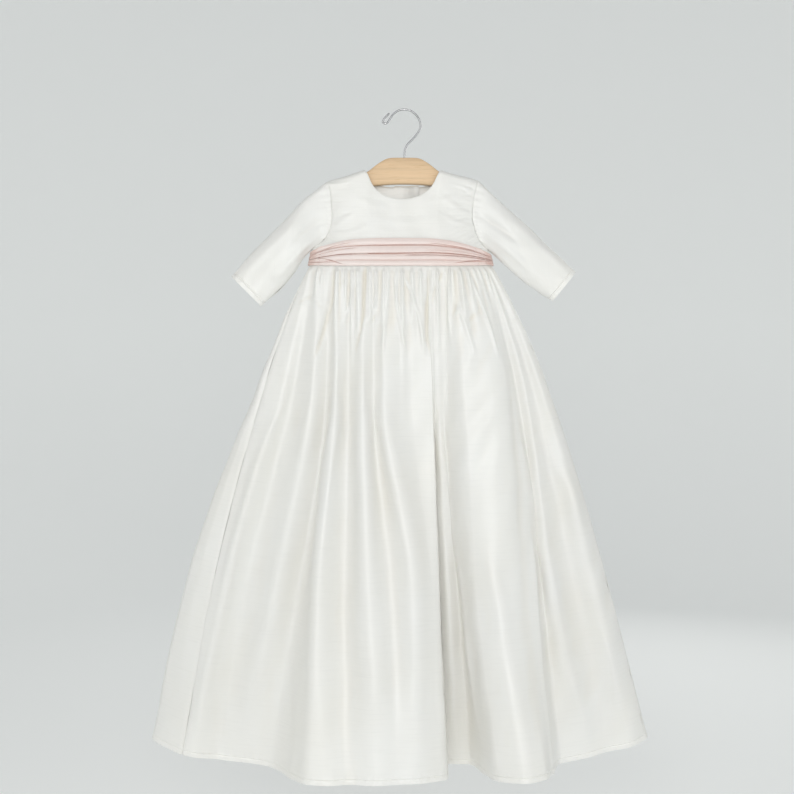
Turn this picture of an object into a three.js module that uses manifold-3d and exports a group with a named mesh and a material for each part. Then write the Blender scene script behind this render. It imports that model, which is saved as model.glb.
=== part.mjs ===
// A baby's long christening gown hanging on a short wooden hanger.
// Millimetres, Z up, the front of the gown faces -Y, X to the viewer's right.
// The origin is the inside of the hook's crown, where the hanger rests on its peg.
import * as THREE from 'three';
import Module from 'manifold-3d';

const wasm = await Module();
wasm.setup();

// Driving sizes
const WALL = 1.2;              // bodice, sleeve and lower skirt cloth
const SKIRT_WALL = 1.4;        // skirt wall, measured level
const HEM_EXTRA = 0.7;         // the turned-in layer at hem and cuffs
const HEM_DEPTH = 8;           // height of the narrow hem
const SEAM_GAP = 0.3;          // space between two sewn pieces
const SKIRT_LENGTH = 700;      // cloth length from waist to hem
const SLEEVE_LENGTH = 180;     // cloth length from armhole to cuff
const WIDE_FOLD = 0.024;       // folds wider than this share of the ring get one more column
const WAIST_SETTLE = 0.05;     // share of that length over which the waist's round opens into folds
const UNDER_SHARE = 0.0045;    // share of the length hidden under the sash's edge
const UNDER_SASH = 0.25;       // how far the skirt's top edge tucks in under the sash
const WAIST_Z = -217.6;        // waist seam at centre front
const WAIST_RISE = 2.6;        // how much higher the waist seam lies at the sides
const WAIST_LEFT = -132.5;
const WAIST_RIGHT = 123.5;
const WAIST_DEPTH = 22;        // half depth of the waist, front or back
const NECK_DEPTH = 12;         // half depth at the bottom of the neckline
const SHOULDER_DEPTH = 8.5;    // half depth where the cloth falls off the hanger
const SHOULDER_ROLL = 8;       // drop over which the cloth turns over the hanger
const SIDE_POWER = 2.5;        // how squarely the body rounds to its sides
const FRONT_GATHERS = 25;      // gathers across the front waist
const BACK_GATHERS = 12;       // gathers across each half of the back waist
const GATHER_SWELL = 2.1;      // how far a gather stands out
const SASH_WALL = 1.3;
const SASH_SWELL = 1.5;        // how far each pleat of the sash stands out
const SASH_CLEAR = 0.6;        // space between sash and bodice
const LAP_INNER = 0.6;         // where the inner back panel ends, as a share of the back
const LAP_OUTER = 0.5;         // where the outer back panel ends
const HOOK_RADIUS = 1.3;       // hanger wire
const WOOD_HALF = 6;           // half the thickness of the wood
const BUTTON_RADIUS = 4.5;
const BUTTON_HEIGHT = 3.2;

// Shoulder lines and neck, seen from the front
const NECK_LEFT = { x: -55.4, z: -83.6 };
const NECK_RIGHT = { x: 51.5, z: -83.9 };
const TIP_LEFT = { x: -108, z: -100.1 };
const TIP_RIGHT = { x: 103.5, z: -98.1 };
const ARM_LEFT = { x: -128, z: -192 };
const ARM_RIGHT = { x: 118, z: -195 };

// Armhole seam: drop is the share of the way down from shoulder to underarm
const ARMHOLE = [
  { drop: 0.00, left: -108.0, right: 103.5 },
  { drop: 0.10, left: -104.6, right: 101.5 },
  { drop: 0.28, left: -102.2, right: 97.4 },
  { drop: 0.53, left: -100.8, right: 95.6 },
  { drop: 0.72, left: -103.2, right: 99.2 },
  { drop: 0.86, left: -109.5, right: 104.6 },
  { drop: 0.95, left: -119.0, right: 111.5 },
  { drop: 1.00, left: -128.0, right: 118.0 },
];

// Neck edges: side runs from -1 at the left neck point to 1 at the right
const NECKLINE = [
  { side: -1.00, x: -55.4, front: -83.6, back: -83.6 },
  { side: -0.93, x: -51.0, front: -90.0, back: -89.0 },
  { side: -0.78, x: -43.3, front: -106.3, back: -97.5 },
  { side: -0.60, x: -32.5, front: -117.6, back: -103.6 },
  { side: -0.36, x: -19.9, front: -123.4, back: -106.6 },
  { side: 0.00, x: -1.0, front: -126.0, back: -108.0 },
  { side: 0.40, x: 20.7, front: -121.6, back: -106.6 },
  { side: 0.63, x: 33.0, front: -113.4, back: -103.0 },
  { side: 0.80, x: 40.6, front: -104.2, back: -97.0 },
  { side: 0.93, x: 47.4, front: -90.4, back: -89.0 },
  { side: 1.00, x: 51.5, front: -83.9, back: -83.9 },
];

// Sleeve sections from armhole to cuff: o is the upper edge, i the lower edge
const SLEEVE_LEFT = [
  { at: 0.00, ox: -108.0, oz: -100.1, ix: -128.0, iz: -192.0, half: 10 },
  { at: 0.18, ox: -135.0, oz: -121.0, ix: -141.0, iz: -206.0, half: 14 },
  { at: 0.38, ox: -162.0, oz: -148.5, ix: -153.0, iz: -226.5, half: 17 },
  { at: 0.58, ox: -188.0, oz: -174.5, ix: -166.0, iz: -243.5, half: 17 },
  { at: 0.79, ox: -215.0, oz: -202.5, ix: -182.0, iz: -258.5, half: 16 },
  { at: 1.00, ox: -241.5, oz: -232.0, ix: -200.0, iz: -273.4, half: 14 },
];
const SLEEVE_RIGHT = [
  { at: 0.00, ox: 103.5, oz: -98.1, ix: 118.0, iz: -195.0, half: 10 },
  { at: 0.18, ox: 127.0, oz: -119.8, ix: 131.0, iz: -207.5, half: 14 },
  { at: 0.38, ox: 153.0, oz: -144.2, ix: 147.0, iz: -222.5, half: 17 },
  { at: 0.58, ox: 181.0, oz: -169.7, ix: 164.0, iz: -237.0, half: 17 },
  { at: 0.79, ox: 211.0, oz: -199.3, ix: 185.0, iz: -252.8, half: 16 },
  { at: 1.00, ox: 239.8, oz: -226.7, ix: 207.6, iz: -266.8, half: 14 },
];

// Folds of the skirt, round the waist from the left side seam across the front and back again.
// waist is X at the waist; x and y are the fold's place near the waist (1), lower (2) and at the hem (3).
const FOLD_LEVELS = [0, 0.268, 0.661, 1];
const FOLDS = [
  { name: 'left seam', waist: -132.5, x1: -198, y1: -8, x2: -266, y2: -18, x3: -306, y3: -28 },
  { name: 'seam ridge', waist: -129, x1: -172, y1: -15, x2: -250, y2: -25, x3: -292, y3: -31 },
  { name: 'hollow', waist: -124, x1: -155, y1: -8, x2: -221, y2: -12, x3: -256, y3: -16 },
  { name: 'side ridge', waist: -115, x1: -128, y1: -24, x2: -180, y2: -28, x3: -226, y3: -12 },
  { name: 'foot of big fold', waist: -103, x1: -109, y1: -12, x2: -149, y2: -13, x3: -188, y3: -20 },
  { name: 'big fold left', waist: -90, x1: -94, y1: -30, x2: -117, y2: -60, x3: -124, y3: -100 },
  { name: 'big fold dip', waist: -76, x1: -77, y1: -17, x2: -81, y2: -46, x3: -79, y3: -97 },
  { name: 'big fold middle', waist: -56, x1: -57, y1: -33, x2: -47, y2: -66, x3: -35, y3: -102 },
  { name: 'big fold dip two', waist: -42, x1: -42, y1: -20, x2: -17, y2: -54, x3: -8, y3: -96 },
  { name: 'big fold right', waist: -24, x1: -27, y1: -32, x2: 12, y2: -64, x3: 14, y3: -93 },
  { name: 'big fold shoulder', waist: 8, x1: 12, y1: -20, x2: 38, y2: -48, x3: 43, y3: -78 },
  { name: 'big fold edge', waist: 32, x1: 39, y1: -20, x2: 49, y2: -36, x3: 59, y3: -60 },
  { name: 'recess left', waist: 38, x1: 42, y1: -5, x2: 50, y2: 3, x3: 62, y3: 8 },
  { name: 'recess ridge', waist: 44, x1: 48, y1: -9, x2: 61, y2: -6, x3: 75, y3: 7 },
  { name: 'recess right', waist: 50, x1: 54, y1: -7, x2: 75, y2: 0, x3: 92, y3: 4 },
  { name: 'second fold flank', waist: 58, x1: 62, y1: -14, x2: 83, y2: -22, x3: 109, y3: -42 },
  { name: 'second fold left', waist: 70, x1: 85, y1: -31, x2: 100, y2: -48, x3: 127, y3: -88 },
  { name: 'second fold crest', waist: 86, x1: 120, y1: -31, x2: 127, y2: -58, x3: 160, y3: -105 },
  { name: 'second fold right', waist: 99, x1: 143, y1: -25, x2: 160, y2: -50, x3: 186, y3: -97 },
  { name: 'second fold edge', waist: 106, x1: 153, y1: -14, x2: 182, y2: -33, x3: 201, y3: -62 },
  { name: 'hollow right', waist: 110, x1: 160, y1: -6, x2: 193, y2: -14, x3: 217, y3: -20 },
  { name: 'right ridge', waist: 114, x1: 170, y1: -12, x2: 207, y2: -24, x3: 257, y3: -14 },
  { name: 'right hollow', waist: 117.5, x1: 182, y1: -4, x2: 237, y2: -8, x3: 287, y3: -7 },
  { name: 'far right ridge', waist: 120.5, x1: 193, y1: -9, x2: 264, y2: -14, x3: 314, y3: -10 },
  { name: 'right seam', waist: 123.5, x1: 204, y1: 2, x2: 284, y2: 4, x3: 341, y3: 8 },
  { name: 'right turn', waist: 122, x1: 205, y1: 8, x2: 285, y2: 12, x3: 343, y3: 20 },
  { name: 'back ridge a', waist: 116, x1: 186, y1: 22, x2: 258, y2: 32, x3: 312, y3: 42 },
  { name: 'back hollow a', waist: 100, x1: 158, y1: 15, x2: 218, y2: 18, x3: 262, y3: 22 },
  { name: 'back ridge b', waist: 82, x1: 126, y1: 30, x2: 170, y2: 42, x3: 203, y3: 58 },
  { name: 'back hollow b', waist: 62, x1: 92, y1: 17, x2: 124, y2: 20, x3: 146, y3: 26 },
  { name: 'back ridge c', waist: 38, x1: 58, y1: 32, x2: 78, y2: 44, x3: 88, y3: 62 },
  { name: 'back centre seam', waist: 7, x1: 12, y1: 20, x2: 20, y2: 24, x3: 26, y3: 30 },
  { name: 'back ridge d', waist: -26, x1: -36, y1: 33, x2: -46, y2: 46, x3: -52, y3: 64 },
  { name: 'back hollow d', waist: -54, x1: -72, y1: 18, x2: -98, y2: 20, x3: -116, y3: 24 },
  { name: 'back ridge e', waist: -78, x1: -106, y1: 31, x2: -146, y2: 42, x3: -176, y3: 58 },
  { name: 'back hollow e', waist: -98, x1: -142, y1: 15, x2: -200, y2: 18, x3: -240, y3: 20 },
  { name: 'back ridge f', waist: -114, x1: -172, y1: 24, x2: -246, y2: 34, x3: -296, y3: 42 },
  { name: 'left turn back', waist: -124, x1: -200, y1: 12, x2: -288, y2: 16, x3: -340, y3: 22 },
  { name: 'left edge', waist: -129.5, x1: -209, y1: 3, x2: -303, y2: 2, x3: -353, y3: 2 },
  { name: 'left turn front', waist: -131.8, x1: -205, y1: -6, x2: -288, y2: -14, x3: -332, y3: -16 },
];
const SEAM_RIGHT_ROW = 24;
const SEAM_BACK_ROW = 31;

// Sash: where its pleats meet, as shares of its height from the top
const SASH_PLEATS = [0, 0.24, 0.56, 0.79, 1];

// Hanger wood from the middle outwards
const WOOD = [
  { out: 0, top: -66.4, base: -103.6 },
  { out: 12, top: -66.4, base: -103.8 },
  { out: 20, top: -66.7, base: -104.2 },
  { out: 26, top: -68.6, base: -104.6 },
  { out: 38, top: -76.4, base: -105.8 },
  { out: 50, top: -86.4, base: -107.2 },
  { out: 60, top: -89.6, base: -109.0 },
  { out: 76, top: -93.4, base: -113.4 },
  { out: 90, top: -98.2, base: -117.4 },
  { out: 99, top: -101.6, base: -118.6 },
  { out: 103.5, top: -105.2, base: -116.2 },
];
const WOOD_CENTRE_X = -0.8;

// Hook wire, from inside the wood up round the crown to the turned-back tip
const HOOK_PATH = [
  [0.7, -86], [0.7, -76], [0.7, -64], [1.6, -54], [5.6, -46.8], [12.6, -39.6], [19.2, -31.6],
  [22.6, -24.6], [22.8, -17.6], [19.8, -10.2], [14, -3.6], [7.6, 0.2], [0, 1.3], [-6, 0.4],
  [-11.4, -2.2], [-16.2, -6.8], [-19.8, -12.2], [-23, -16.8], [-26.6, -18.4], [-29.4, -16.6],
  [-28.2, -12.4], [-24.6, -8], [-21.4, -4.8],
];

// Small helpers
const clamp = (t, a, b) => Math.min(b, Math.max(a, t));
const mix = (a, b, t) => a + (b - a) * t;
const smooth = (t) => {
  const c = clamp(t, 0, 1);
  return c * c * (3 - 2 * c);
};
// A repeatable unevenness between 0 and 1
const uneven = (i, k) => {
  const s = Math.sin(i * 12.9898 + k * 78.233) * 43758.5453;
  return s - Math.floor(s);
};

// Smooth curve through (keys, values) that never overshoots; slopes come from both neighbours
function slopeAt(k0, k1, k2, a, b, c) {
  const left = (b - a) / (k1 - k0);
  const right = (c - b) / (k2 - k1);
  return left * right <= 0 ? 0 : (2 * left * right) / (left + right);
}
function hermite(k1, k2, b, c, m1, m2, k) {
  const h = k2 - k1;
  const t = (k - k1) / h;
  const t2 = t * t;
  const t3 = t2 * t;
  const values = (2 * t3 - 3 * t2 + 1) * b + (3 * t2 - 2 * t3) * c;
  const slopes = (t3 - 2 * t2 + t) * m1 + (t3 - t2) * m2;
  return values + slopes * h;
}
function through(keys, values, k) {
  const n = keys.length;
  let i = 0;
  while (i < n - 2 && k > keys[i + 1]) {
    i += 1;
  }
  const ends = (j) => (values[j + 1] - values[j]) / (keys[j + 1] - keys[j]);
  const slope = (j) => {
    if (j === 0) {
      return ends(0);
    }
    if (j === n - 1) {
      return ends(n - 2);
    }
    return slopeAt(keys[j - 1], keys[j], keys[j + 1], values[j - 1], values[j], values[j + 1]);
  };
  return hermite(keys[i], keys[i + 1], values[i], values[i + 1], slope(i), slope(i + 1), k);
}
const column = (table, key) => table.map((row) => row[key]);
const look = (table, key, name, k) => through(column(table, key), column(table, name), k);

// A closed wall from rows of outer and inner points.
// Neighbouring rows may hold different numbers of points, joined in the order of their places.
// turnEdges splits the side edges along their other diagonal, so that they match the piece sewn to them.
function wallGeometry(rows, closed, turnEdges = false) {
  const points = [];
  const add = (p) => {
    points.push(p);
    return points.length - 1;
  };
  const laid = rows.map((row) => ({
    at: row.map((c) => c.at),
    outer: row.map((c) => add(c.outer)),
    inner: row.map((c) => add(c.inner)),
  }));
  const faces = [];
  const quad = (a, b, c, d) => {
    faces.push([a, b, c], [a, c, d]);
  };
  const strip = (atA, a, atB, b, flip) => {
    let i = 0;
    let j = 0;
    while (i < a.length - 1 || j < b.length - 1) {
      const nextA = i < a.length - 1 ? atA[i + 1] : Infinity;
      const nextB = j < b.length - 1 ? atB[j + 1] : Infinity;
      if (nextA <= nextB) {
        faces.push(flip ? [a[i], b[j], a[i + 1]] : [a[i], a[i + 1], b[j]]);
        i += 1;
      } else {
        faces.push(flip ? [a[i], b[j], b[j + 1]] : [a[i], b[j + 1], b[j]]);
        j += 1;
      }
    }
  };
  laid.forEach((row, r) => {
    if (closed) {
      row.at = [...row.at, row.at[0] + 1];
      row.outer = [...row.outer, row.outer[0]];
      row.inner = [...row.inner, row.inner[0]];
    }
    if (r === 0) {
      return;
    }
    const above = laid[r - 1];
    strip(above.at, above.outer, row.at, row.outer, false);
    strip(above.at, above.inner, row.at, row.inner, true);
    if (!closed) {
      const last = row.outer.length - 1;
      const lastAbove = above.outer.length - 1;
      if (turnEdges) {
        quad(row.outer[0], row.inner[0], above.inner[0], above.outer[0]);
        quad(above.outer[lastAbove], above.inner[lastAbove], row.inner[last], row.outer[last]);
      } else {
        quad(above.outer[0], row.outer[0], row.inner[0], above.inner[0]);
        quad(row.outer[last], above.outer[lastAbove], above.inner[lastAbove], row.inner[last]);
      }
    }
  });
  const top = laid[0];
  const end = laid[laid.length - 1];
  for (let i = 0; i < top.outer.length - 1; i += 1) {
    quad(top.outer[i + 1], top.outer[i], top.inner[i], top.inner[i + 1]);
  }
  for (let i = 0; i < end.outer.length - 1; i += 1) {
    quad(end.outer[i], end.outer[i + 1], end.inner[i + 1], end.inner[i]);
  }
  return solidGeometry(points, faces);
}

// Turns points and faces into a geometry whose faces look outwards
function solidGeometry(points, faces) {
  let volume = 0;
  for (const [a, b, c] of faces) {
    volume += points[a].dot(new THREE.Vector3().crossVectors(points[b], points[c]));
  }
  const index = faces.flatMap((f) => (volume < 0 ? [f[0], f[2], f[1]] : f));
  const geometry = new THREE.BufferGeometry();
  const flat = points.flatMap((p) => [p.x, p.y, p.z]);
  geometry.setAttribute('position', new THREE.Float32BufferAttribute(flat, 3));
  geometry.setIndex(index);
  return geometry;
}

// Rings joined into a closed bar with flat ends
function barGeometry(rings) {
  const points = rings.flat();
  const n = rings[0].length;
  const faces = [];
  for (let r = 0; r < rings.length - 1; r += 1) {
    for (let i = 0; i < n; i += 1) {
      const j = (i + 1) % n;
      const a = r * n;
      const b = a + n;
      faces.push([a + i, a + j, b + j], [a + i, b + j, b + i]);
    }
  }
  const last = (rings.length - 1) * n;
  for (let i = 1; i < n - 1; i += 1) {
    faces.push([0, i + 1, i], [last, last + i, last + i + 1]);
  }
  return solidGeometry(points, faces);
}

function toManifold(geometry) {
  return new wasm.Manifold(new wasm.Mesh({
    numProp: 3,
    vertProperties: new Float32Array(geometry.attributes.position.array),
    triVerts: new Uint32Array(geometry.index.array),
  }));
}
function fromManifold(body) {
  const mesh = body.getMesh();
  const geometry = new THREE.BufferGeometry();
  const flat = [];
  for (let i = 0; i < mesh.vertProperties.length; i += mesh.numProp) {
    flat.push(mesh.vertProperties[i], mesh.vertProperties[i + 1], mesh.vertProperties[i + 2]);
  }
  geometry.setAttribute('position', new THREE.Float32BufferAttribute(flat, 3));
  geometry.setIndex(Array.from(mesh.triVerts));
  return geometry;
}

const group = new THREE.Group();
group.name = 'christening_gown';
function addNode(name, geometry, color, roughness, metalness) {
  const shape = geometry.index ? geometry.toNonIndexed() : geometry;
  shape.computeVertexNormals();
  const material = new THREE.MeshStandardMaterial({ color, roughness, metalness });
  const mesh = new THREE.Mesh(shape, material);
  mesh.name = name;
  group.add(mesh);
}
const IVORY = 0xeeeeea;
const PINK = 0xf0dcd6;
const BEECH = 0xdec09b;
const STEEL = 0xb9bcc0;

// Bodice: a patch between shoulder and neck edge, waist seam and the two side edges
const WAIST_CENTRE = (WAIST_LEFT + WAIST_RIGHT) / 2;
const WAIST_HALF = (WAIST_RIGHT - WAIST_LEFT) / 2;
const sideRound = (s) => Math.sqrt(Math.max(0, 1 - Math.abs(s) ** SIDE_POWER));
const waistZ = (s) => WAIST_Z + WAIST_RISE * s ** 4;
const ARM_ROWS = 11;
const SIDE_ROWS = 2;
const SHOULDER_SHARE = 0.25;

const SHOULDER_SLOPE_LEFT = (NECK_LEFT.z - TIP_LEFT.z) / (NECK_LEFT.x - TIP_LEFT.x);
const SHOULDER_SLOPE_RIGHT = (TIP_RIGHT.z - NECK_RIGHT.z) / (TIP_RIGHT.x - NECK_RIGHT.x);
const shoulderZ = (x) => Math.min(
  NECK_LEFT.z + SHOULDER_SLOPE_LEFT * (x - NECK_LEFT.x),
  NECK_RIGHT.z + SHOULDER_SLOPE_RIGHT * (x - NECK_RIGHT.x),
);
const roll = (x, z) => {
  const d = clamp((shoulderZ(x) - z) / SHOULDER_ROLL, 0, 1);
  return Math.sqrt(1 - (1 - d) ** 2);
};
const armDrop = (t) => (1 - Math.cos(Math.PI * t)) / 2;

// A point of the armhole seam; t runs from 0 at the shoulder to 1 at the underarm
function armPoint(side, t, back) {
  const drop = armDrop(t);
  const tip = side === 'left' ? TIP_LEFT : TIP_RIGHT;
  const under = side === 'left' ? ARM_LEFT : ARM_RIGHT;
  const x = look(ARMHOLE, 'drop', side, drop);
  const z = mix(tip.z, under.z, drop);
  const y = SHOULDER_DEPTH * roll(x, z) * Math.sqrt(Math.max(0, 1 - drop ** 6));
  return new THREE.Vector3(x, back ? y : -y, z);
}
// Outward direction of the cloth at the armhole seam, shared by bodice and sleeve,
// and the direction across the seam towards the sleeve
function armFrame(side, t, back) {
  const step = 0.02;
  const a = armPoint(side, Math.abs(t - step), t < step ? !back : back);
  const b = armPoint(side, t > 1 - step ? 2 - t - step : t + step, t > 1 - step ? !back : back);
  const along = b.sub(a).normalize();
  const normal = new THREE.Vector3(0, along.z, -along.y);
  if (t < step || t > 1 - step) {
    normal.set(0, 0, t < 0.5 ? 1 : -1);
  } else if (normal.y * (back ? 1 : -1) < 0) {
    normal.negate();
  }
  normal.normalize();
  const across = new THREE.Vector3().crossVectors(normal, along).normalize();
  if (across.x * (side === 'left' ? -1 : 1) < 0) {
    across.negate();
  }
  return { normal, across };
}

// Half the space left at the armhole seam, a little more in the tight turn of the underarm
const armGap = (t) => SEAM_GAP / 2 + 0.25 * smooth((t - 0.7) / 0.2);

// Left or right edge of the bodice: down the armhole, then down the side seam
function sideEdge(side, v) {
  const t = v * (ARM_ROWS + SIDE_ROWS) / ARM_ROWS;
  if (t <= 1) {
    const p = armPoint(side, t, false);
    return { x: p.x, z: p.z, depth: -p.y };
  }
  const under = side === 'left' ? ARM_LEFT : ARM_RIGHT;
  const down = (t - 1) * ARM_ROWS / SIDE_ROWS;
  const waist = side === 'left' ? WAIST_LEFT : WAIST_RIGHT;
  return { x: mix(under.x, waist, down), z: mix(under.z, waistZ(1), down), depth: 0 };
}
function topEdge(u, back) {
  if (u < SHOULDER_SHARE) {
    const t = u / SHOULDER_SHARE;
    return { x: mix(TIP_LEFT.x, NECK_LEFT.x, t), z: mix(TIP_LEFT.z, NECK_LEFT.z, t) };
  }
  if (u > 1 - SHOULDER_SHARE) {
    const t = (1 - u) / SHOULDER_SHARE;
    return { x: mix(TIP_RIGHT.x, NECK_RIGHT.x, t), z: mix(TIP_RIGHT.z, NECK_RIGHT.z, t) };
  }
  const side = (u - 0.5) / (0.5 - SHOULDER_SHARE);
  return {
    x: look(NECKLINE, 'side', 'x', side),
    z: look(NECKLINE, 'side', back ? 'back' : 'front', side),
  };
}
function bodicePoint(u, v, back) {
  const left = sideEdge('left', v);
  const right = sideEdge('right', v);
  const top = topEdge(u, back);
  const s = 2 * u - 1;
  const low = { x: WAIST_CENTRE + WAIST_HALF * s, z: waistZ(s) };
  const w = (TIP_LEFT.z - left.z) / (TIP_LEFT.z - waistZ(1));
  const patch = (key, corners) => {
    const topCorners = (1 - u) * corners[0] + u * corners[1];
    const lowCorners = (1 - u) * corners[2] + u * corners[3];
    const across = (1 - u) * left[key] + u * right[key];
    return (1 - w) * (top[key] - topCorners) + w * (low[key] - lowCorners) + across;
  };
  const x = patch('x', [TIP_LEFT.x, TIP_RIGHT.x, WAIST_LEFT, WAIST_RIGHT]);
  const z = patch('z', [TIP_LEFT.z, TIP_RIGHT.z, waistZ(1), waistZ(1)]);
  const edge = mix(left.depth, right.depth, u);
  const middle = mix(NECK_DEPTH, WAIST_DEPTH, w);
  const edgeFull = v * (ARM_ROWS + SIDE_ROWS) / ARM_ROWS < 0.5 ? SHOULDER_DEPTH : edge;
  const depth = Math.max(0, edgeFull + (middle - edgeFull) * sideRound(s));
  const rolled = u > 0 && u < 1 ? depth * roll(x, z) : edge;
  return new THREE.Vector3(x, back ? rolled : -rolled, z);
}
// Outward direction of a surface from nearby points
function directionOf(surface, u, v, outward) {
  const d = 0.01;
  const a = surface(clamp(u - d, 0, 1), v);
  const b = surface(clamp(u + d, 0, 1), v);
  const c = surface(u, clamp(v - d, 0, 1));
  const e = surface(u, clamp(v + d, 0, 1));
  const n = new THREE.Vector3().crossVectors(b.sub(a), e.sub(c)).normalize();
  return n.dot(outward) < 0 ? n.negate() : n;
}
function bodiceNormal(u, v, back) {
  const t = v * (ARM_ROWS + SIDE_ROWS) / ARM_ROWS;
  if ((u === 0 || u === 1) && t <= 1) {
    return armFrame(u === 0 ? 'left' : 'right', t, back).normal;
  }
  if (u === 0 || u === 1) {
    return new THREE.Vector3(u === 0 ? -1 : 1, 0, 0);
  }
  const out = new THREE.Vector3((2 * u - 1) * 0.5, back ? 1 : -1, 0.3);
  const n = directionOf((a, b) => bodicePoint(a, b, back), u, v, out);
  const onShoulder = v === 0 && (u <= SHOULDER_SHARE || u >= 1 - SHOULDER_SHARE);
  if (onShoulder) {
    const slope = u < 0.5 ? SHOULDER_SLOPE_LEFT : SHOULDER_SLOPE_RIGHT;
    return new THREE.Vector3(-slope, 0, 1).normalize();
  }
  return n;
}
function bodiceCell(u, v, back, lift, wall) {
  const p = bodicePoint(u, v, back);
  const n = bodiceNormal(u, v, back);
  const half = SEAM_GAP / 2;
  const t = v * (ARM_ROWS + SIDE_ROWS) / ARM_ROWS;
  if (u === 0 || u === 1) {
    if (t <= 1) {
      p.addScaledVector(armFrame(u === 0 ? 'left' : 'right', t, back).across, -armGap(t));
    }
    p.y = back ? Math.max(p.y, half) : Math.min(p.y, -half);
  }
  if (v === 0 && Math.abs(p.y) < half) {
    p.y = back ? half : -half;
  }
  p.addScaledVector(n, lift);
  return { at: u, outer: p, inner: p.clone().addScaledVector(n, -wall) };
}
const bodiceRows = [];
for (let i = 0; i <= ARM_ROWS + SIDE_ROWS; i += 1) {
  bodiceRows.push(i / (ARM_ROWS + SIDE_ROWS));
}
function bodicePanel(us, back, liftOf) {
  return bodiceRows.map((v) => us.map((u) => bodiceCell(u, v, back, liftOf(u), WALL)));
}
const spread = (a, b, n) => Array.from({ length: n + 1 }, (_, i) => mix(a, b, i / n));
const SHOULDER_COLUMNS = 5;
// Columns below the neck edge stand closer together beside the neck points, where the cloth turns
const neckColumns = (sides) => sides.map((side) => 0.5 + side * (0.5 - SHOULDER_SHARE));
const leftShoulder = spread(0, SHOULDER_SHARE, SHOULDER_COLUMNS);
const rightShoulder = spread(1 - SHOULDER_SHARE, 1, SHOULDER_COLUMNS);
const frontColumns = [...leftShoulder,
  ...neckColumns([-0.965, -0.9, -0.78, -0.6, -0.36, -0.12, 0.12, 0.36, 0.6, 0.78, 0.9, 0.965]),
  ...rightShoulder];
const backLeftColumns = [...leftShoulder, ...neckColumns([-0.965, -0.9, -0.75, -0.45, -0.05]), LAP_INNER];
const backRightColumns = [LAP_OUTER, ...neckColumns([0.36, 0.66, 0.84, 0.92, 0.965]), ...rightShoulder];
// The outer back panel lies one cloth and a gap further out where it laps
const lapLift = (u) => (WALL + SEAM_GAP + 0.2) * smooth((0.68 - u) / 0.06);
const frontBodice = bodicePanel(frontColumns, false, () => 0);
const backLeftBodice = bodicePanel(backLeftColumns, true, () => 0);
const backRightBodice = bodicePanel(backRightColumns, true, lapLift);
addNode('bodice_front', wallGeometry(frontBodice, false, true), IVORY, 0.55, 0);
addNode('bodice_back_left', wallGeometry(backLeftBodice, false), IVORY, 0.55, 0);
addNode('bodice_back_right', wallGeometry(backRightBodice, false), IVORY, 0.55, 0);

// Sleeves: rings from the armhole seam to the cuff
const SLEEVE_AROUND = ARM_ROWS;
function sleevePoint(side, table, s, t, back) {
  const at = (name) => look(table, 'at', name, s);
  const o = new THREE.Vector3(at('ox'), 0, at('oz'));
  const i = new THREE.Vector3(at('ix'), 0, at('iz'));
  const ring = i.clone().lerp(o, 1 - armDrop(t));
  const first = table[0];
  const seam = armPoint(side, t, back);
  const straight = new THREE.Vector3(first.ix, 0, first.iz);
  straight.lerp(new THREE.Vector3(first.ox, 0, first.oz), 1 - armDrop(t));
  const bow = (1 - clamp(s / 0.5, 0, 1)) ** 2;
  ring.x += (seam.x - straight.x) * bow;
  const full = at('half') * Math.sin(Math.PI * t) ** 0.85;
  const depth = mix(Math.abs(seam.y), full, smooth(s / 0.3));
  ring.y = back ? depth : -depth;
  return ring;
}
function sleeveRows(side, table) {
  const hem = HEM_DEPTH / SLEEVE_LENGTH;
  const stops = [0, 0.05, 0.12, 0.22, 0.34, 0.48, 0.62, 0.76, 1 - hem - 0.5 / SLEEVE_LENGTH, 1 - hem, 1];
  const around = SLEEVE_AROUND * 2;
  return stops.map((s) => {
    const row = [];
    for (let k = 0; k < around; k += 1) {
      const back = k > SLEEVE_AROUND;
      const t = back ? (around - k) / SLEEVE_AROUND : k / SLEEVE_AROUND;
      const p = sleevePoint(side, table, s, t, back);
      const surface = (a, b) => {
        const turn = (b * around + around) % around;
        const behind = turn > SLEEVE_AROUND;
        const down = (behind ? around - turn : turn) / SLEEVE_AROUND;
        return sleevePoint(side, table, a, down, behind);
      };
      const d = 0.01;
      const along = surface(Math.min(1, s + d), k / around).sub(surface(Math.max(0, s - d), k / around));
      const cross = surface(s, k / around + d).sub(surface(s, k / around - d));
      let n = new THREE.Vector3().crossVectors(along, cross).normalize();
      const middle = sleevePoint(side, table, s, 0.5, false);
      middle.y = 0;
      if (n.dot(p.clone().sub(middle)) < 0) {
        n.negate();
      }
      if (s === 0) {
        const seam = armFrame(side, t, back);
        n = seam.normal;
        p.addScaledVector(seam.across, armGap(t));
      }
      const wall = s > 1 - (HEM_DEPTH + 0.2) / SLEEVE_LENGTH ? WALL + HEM_EXTRA : WALL;
      row.push({ at: k / around, outer: p, inner: p.clone().addScaledVector(n, -wall) });
    }
    return row;
  });
}
addNode('sleeve_left', wallGeometry(sleeveRows('left', SLEEVE_LEFT), true), IVORY, 0.55, 0);
addNode('sleeve_right', wallGeometry(sleeveRows('right', SLEEVE_RIGHT), true), IVORY, 0.55, 0);

// Skirt: a ring of folds that grows from the waist to the hem
const foldCount = FOLDS.length;
const waistOf = (x) => {
  const s = clamp((x - WAIST_CENTRE) / WAIST_HALF, -1, 1);
  return { s, depth: WAIST_DEPTH * sideRound(s) };
};
const isFront = (i) => i <= SEAM_RIGHT_ROW;
const foldWaist = FOLDS.map((f, i) => ({ x: f.waist, y: waistOf(f.waist).depth * (isFront(i) ? -1 : 1) }));
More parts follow.
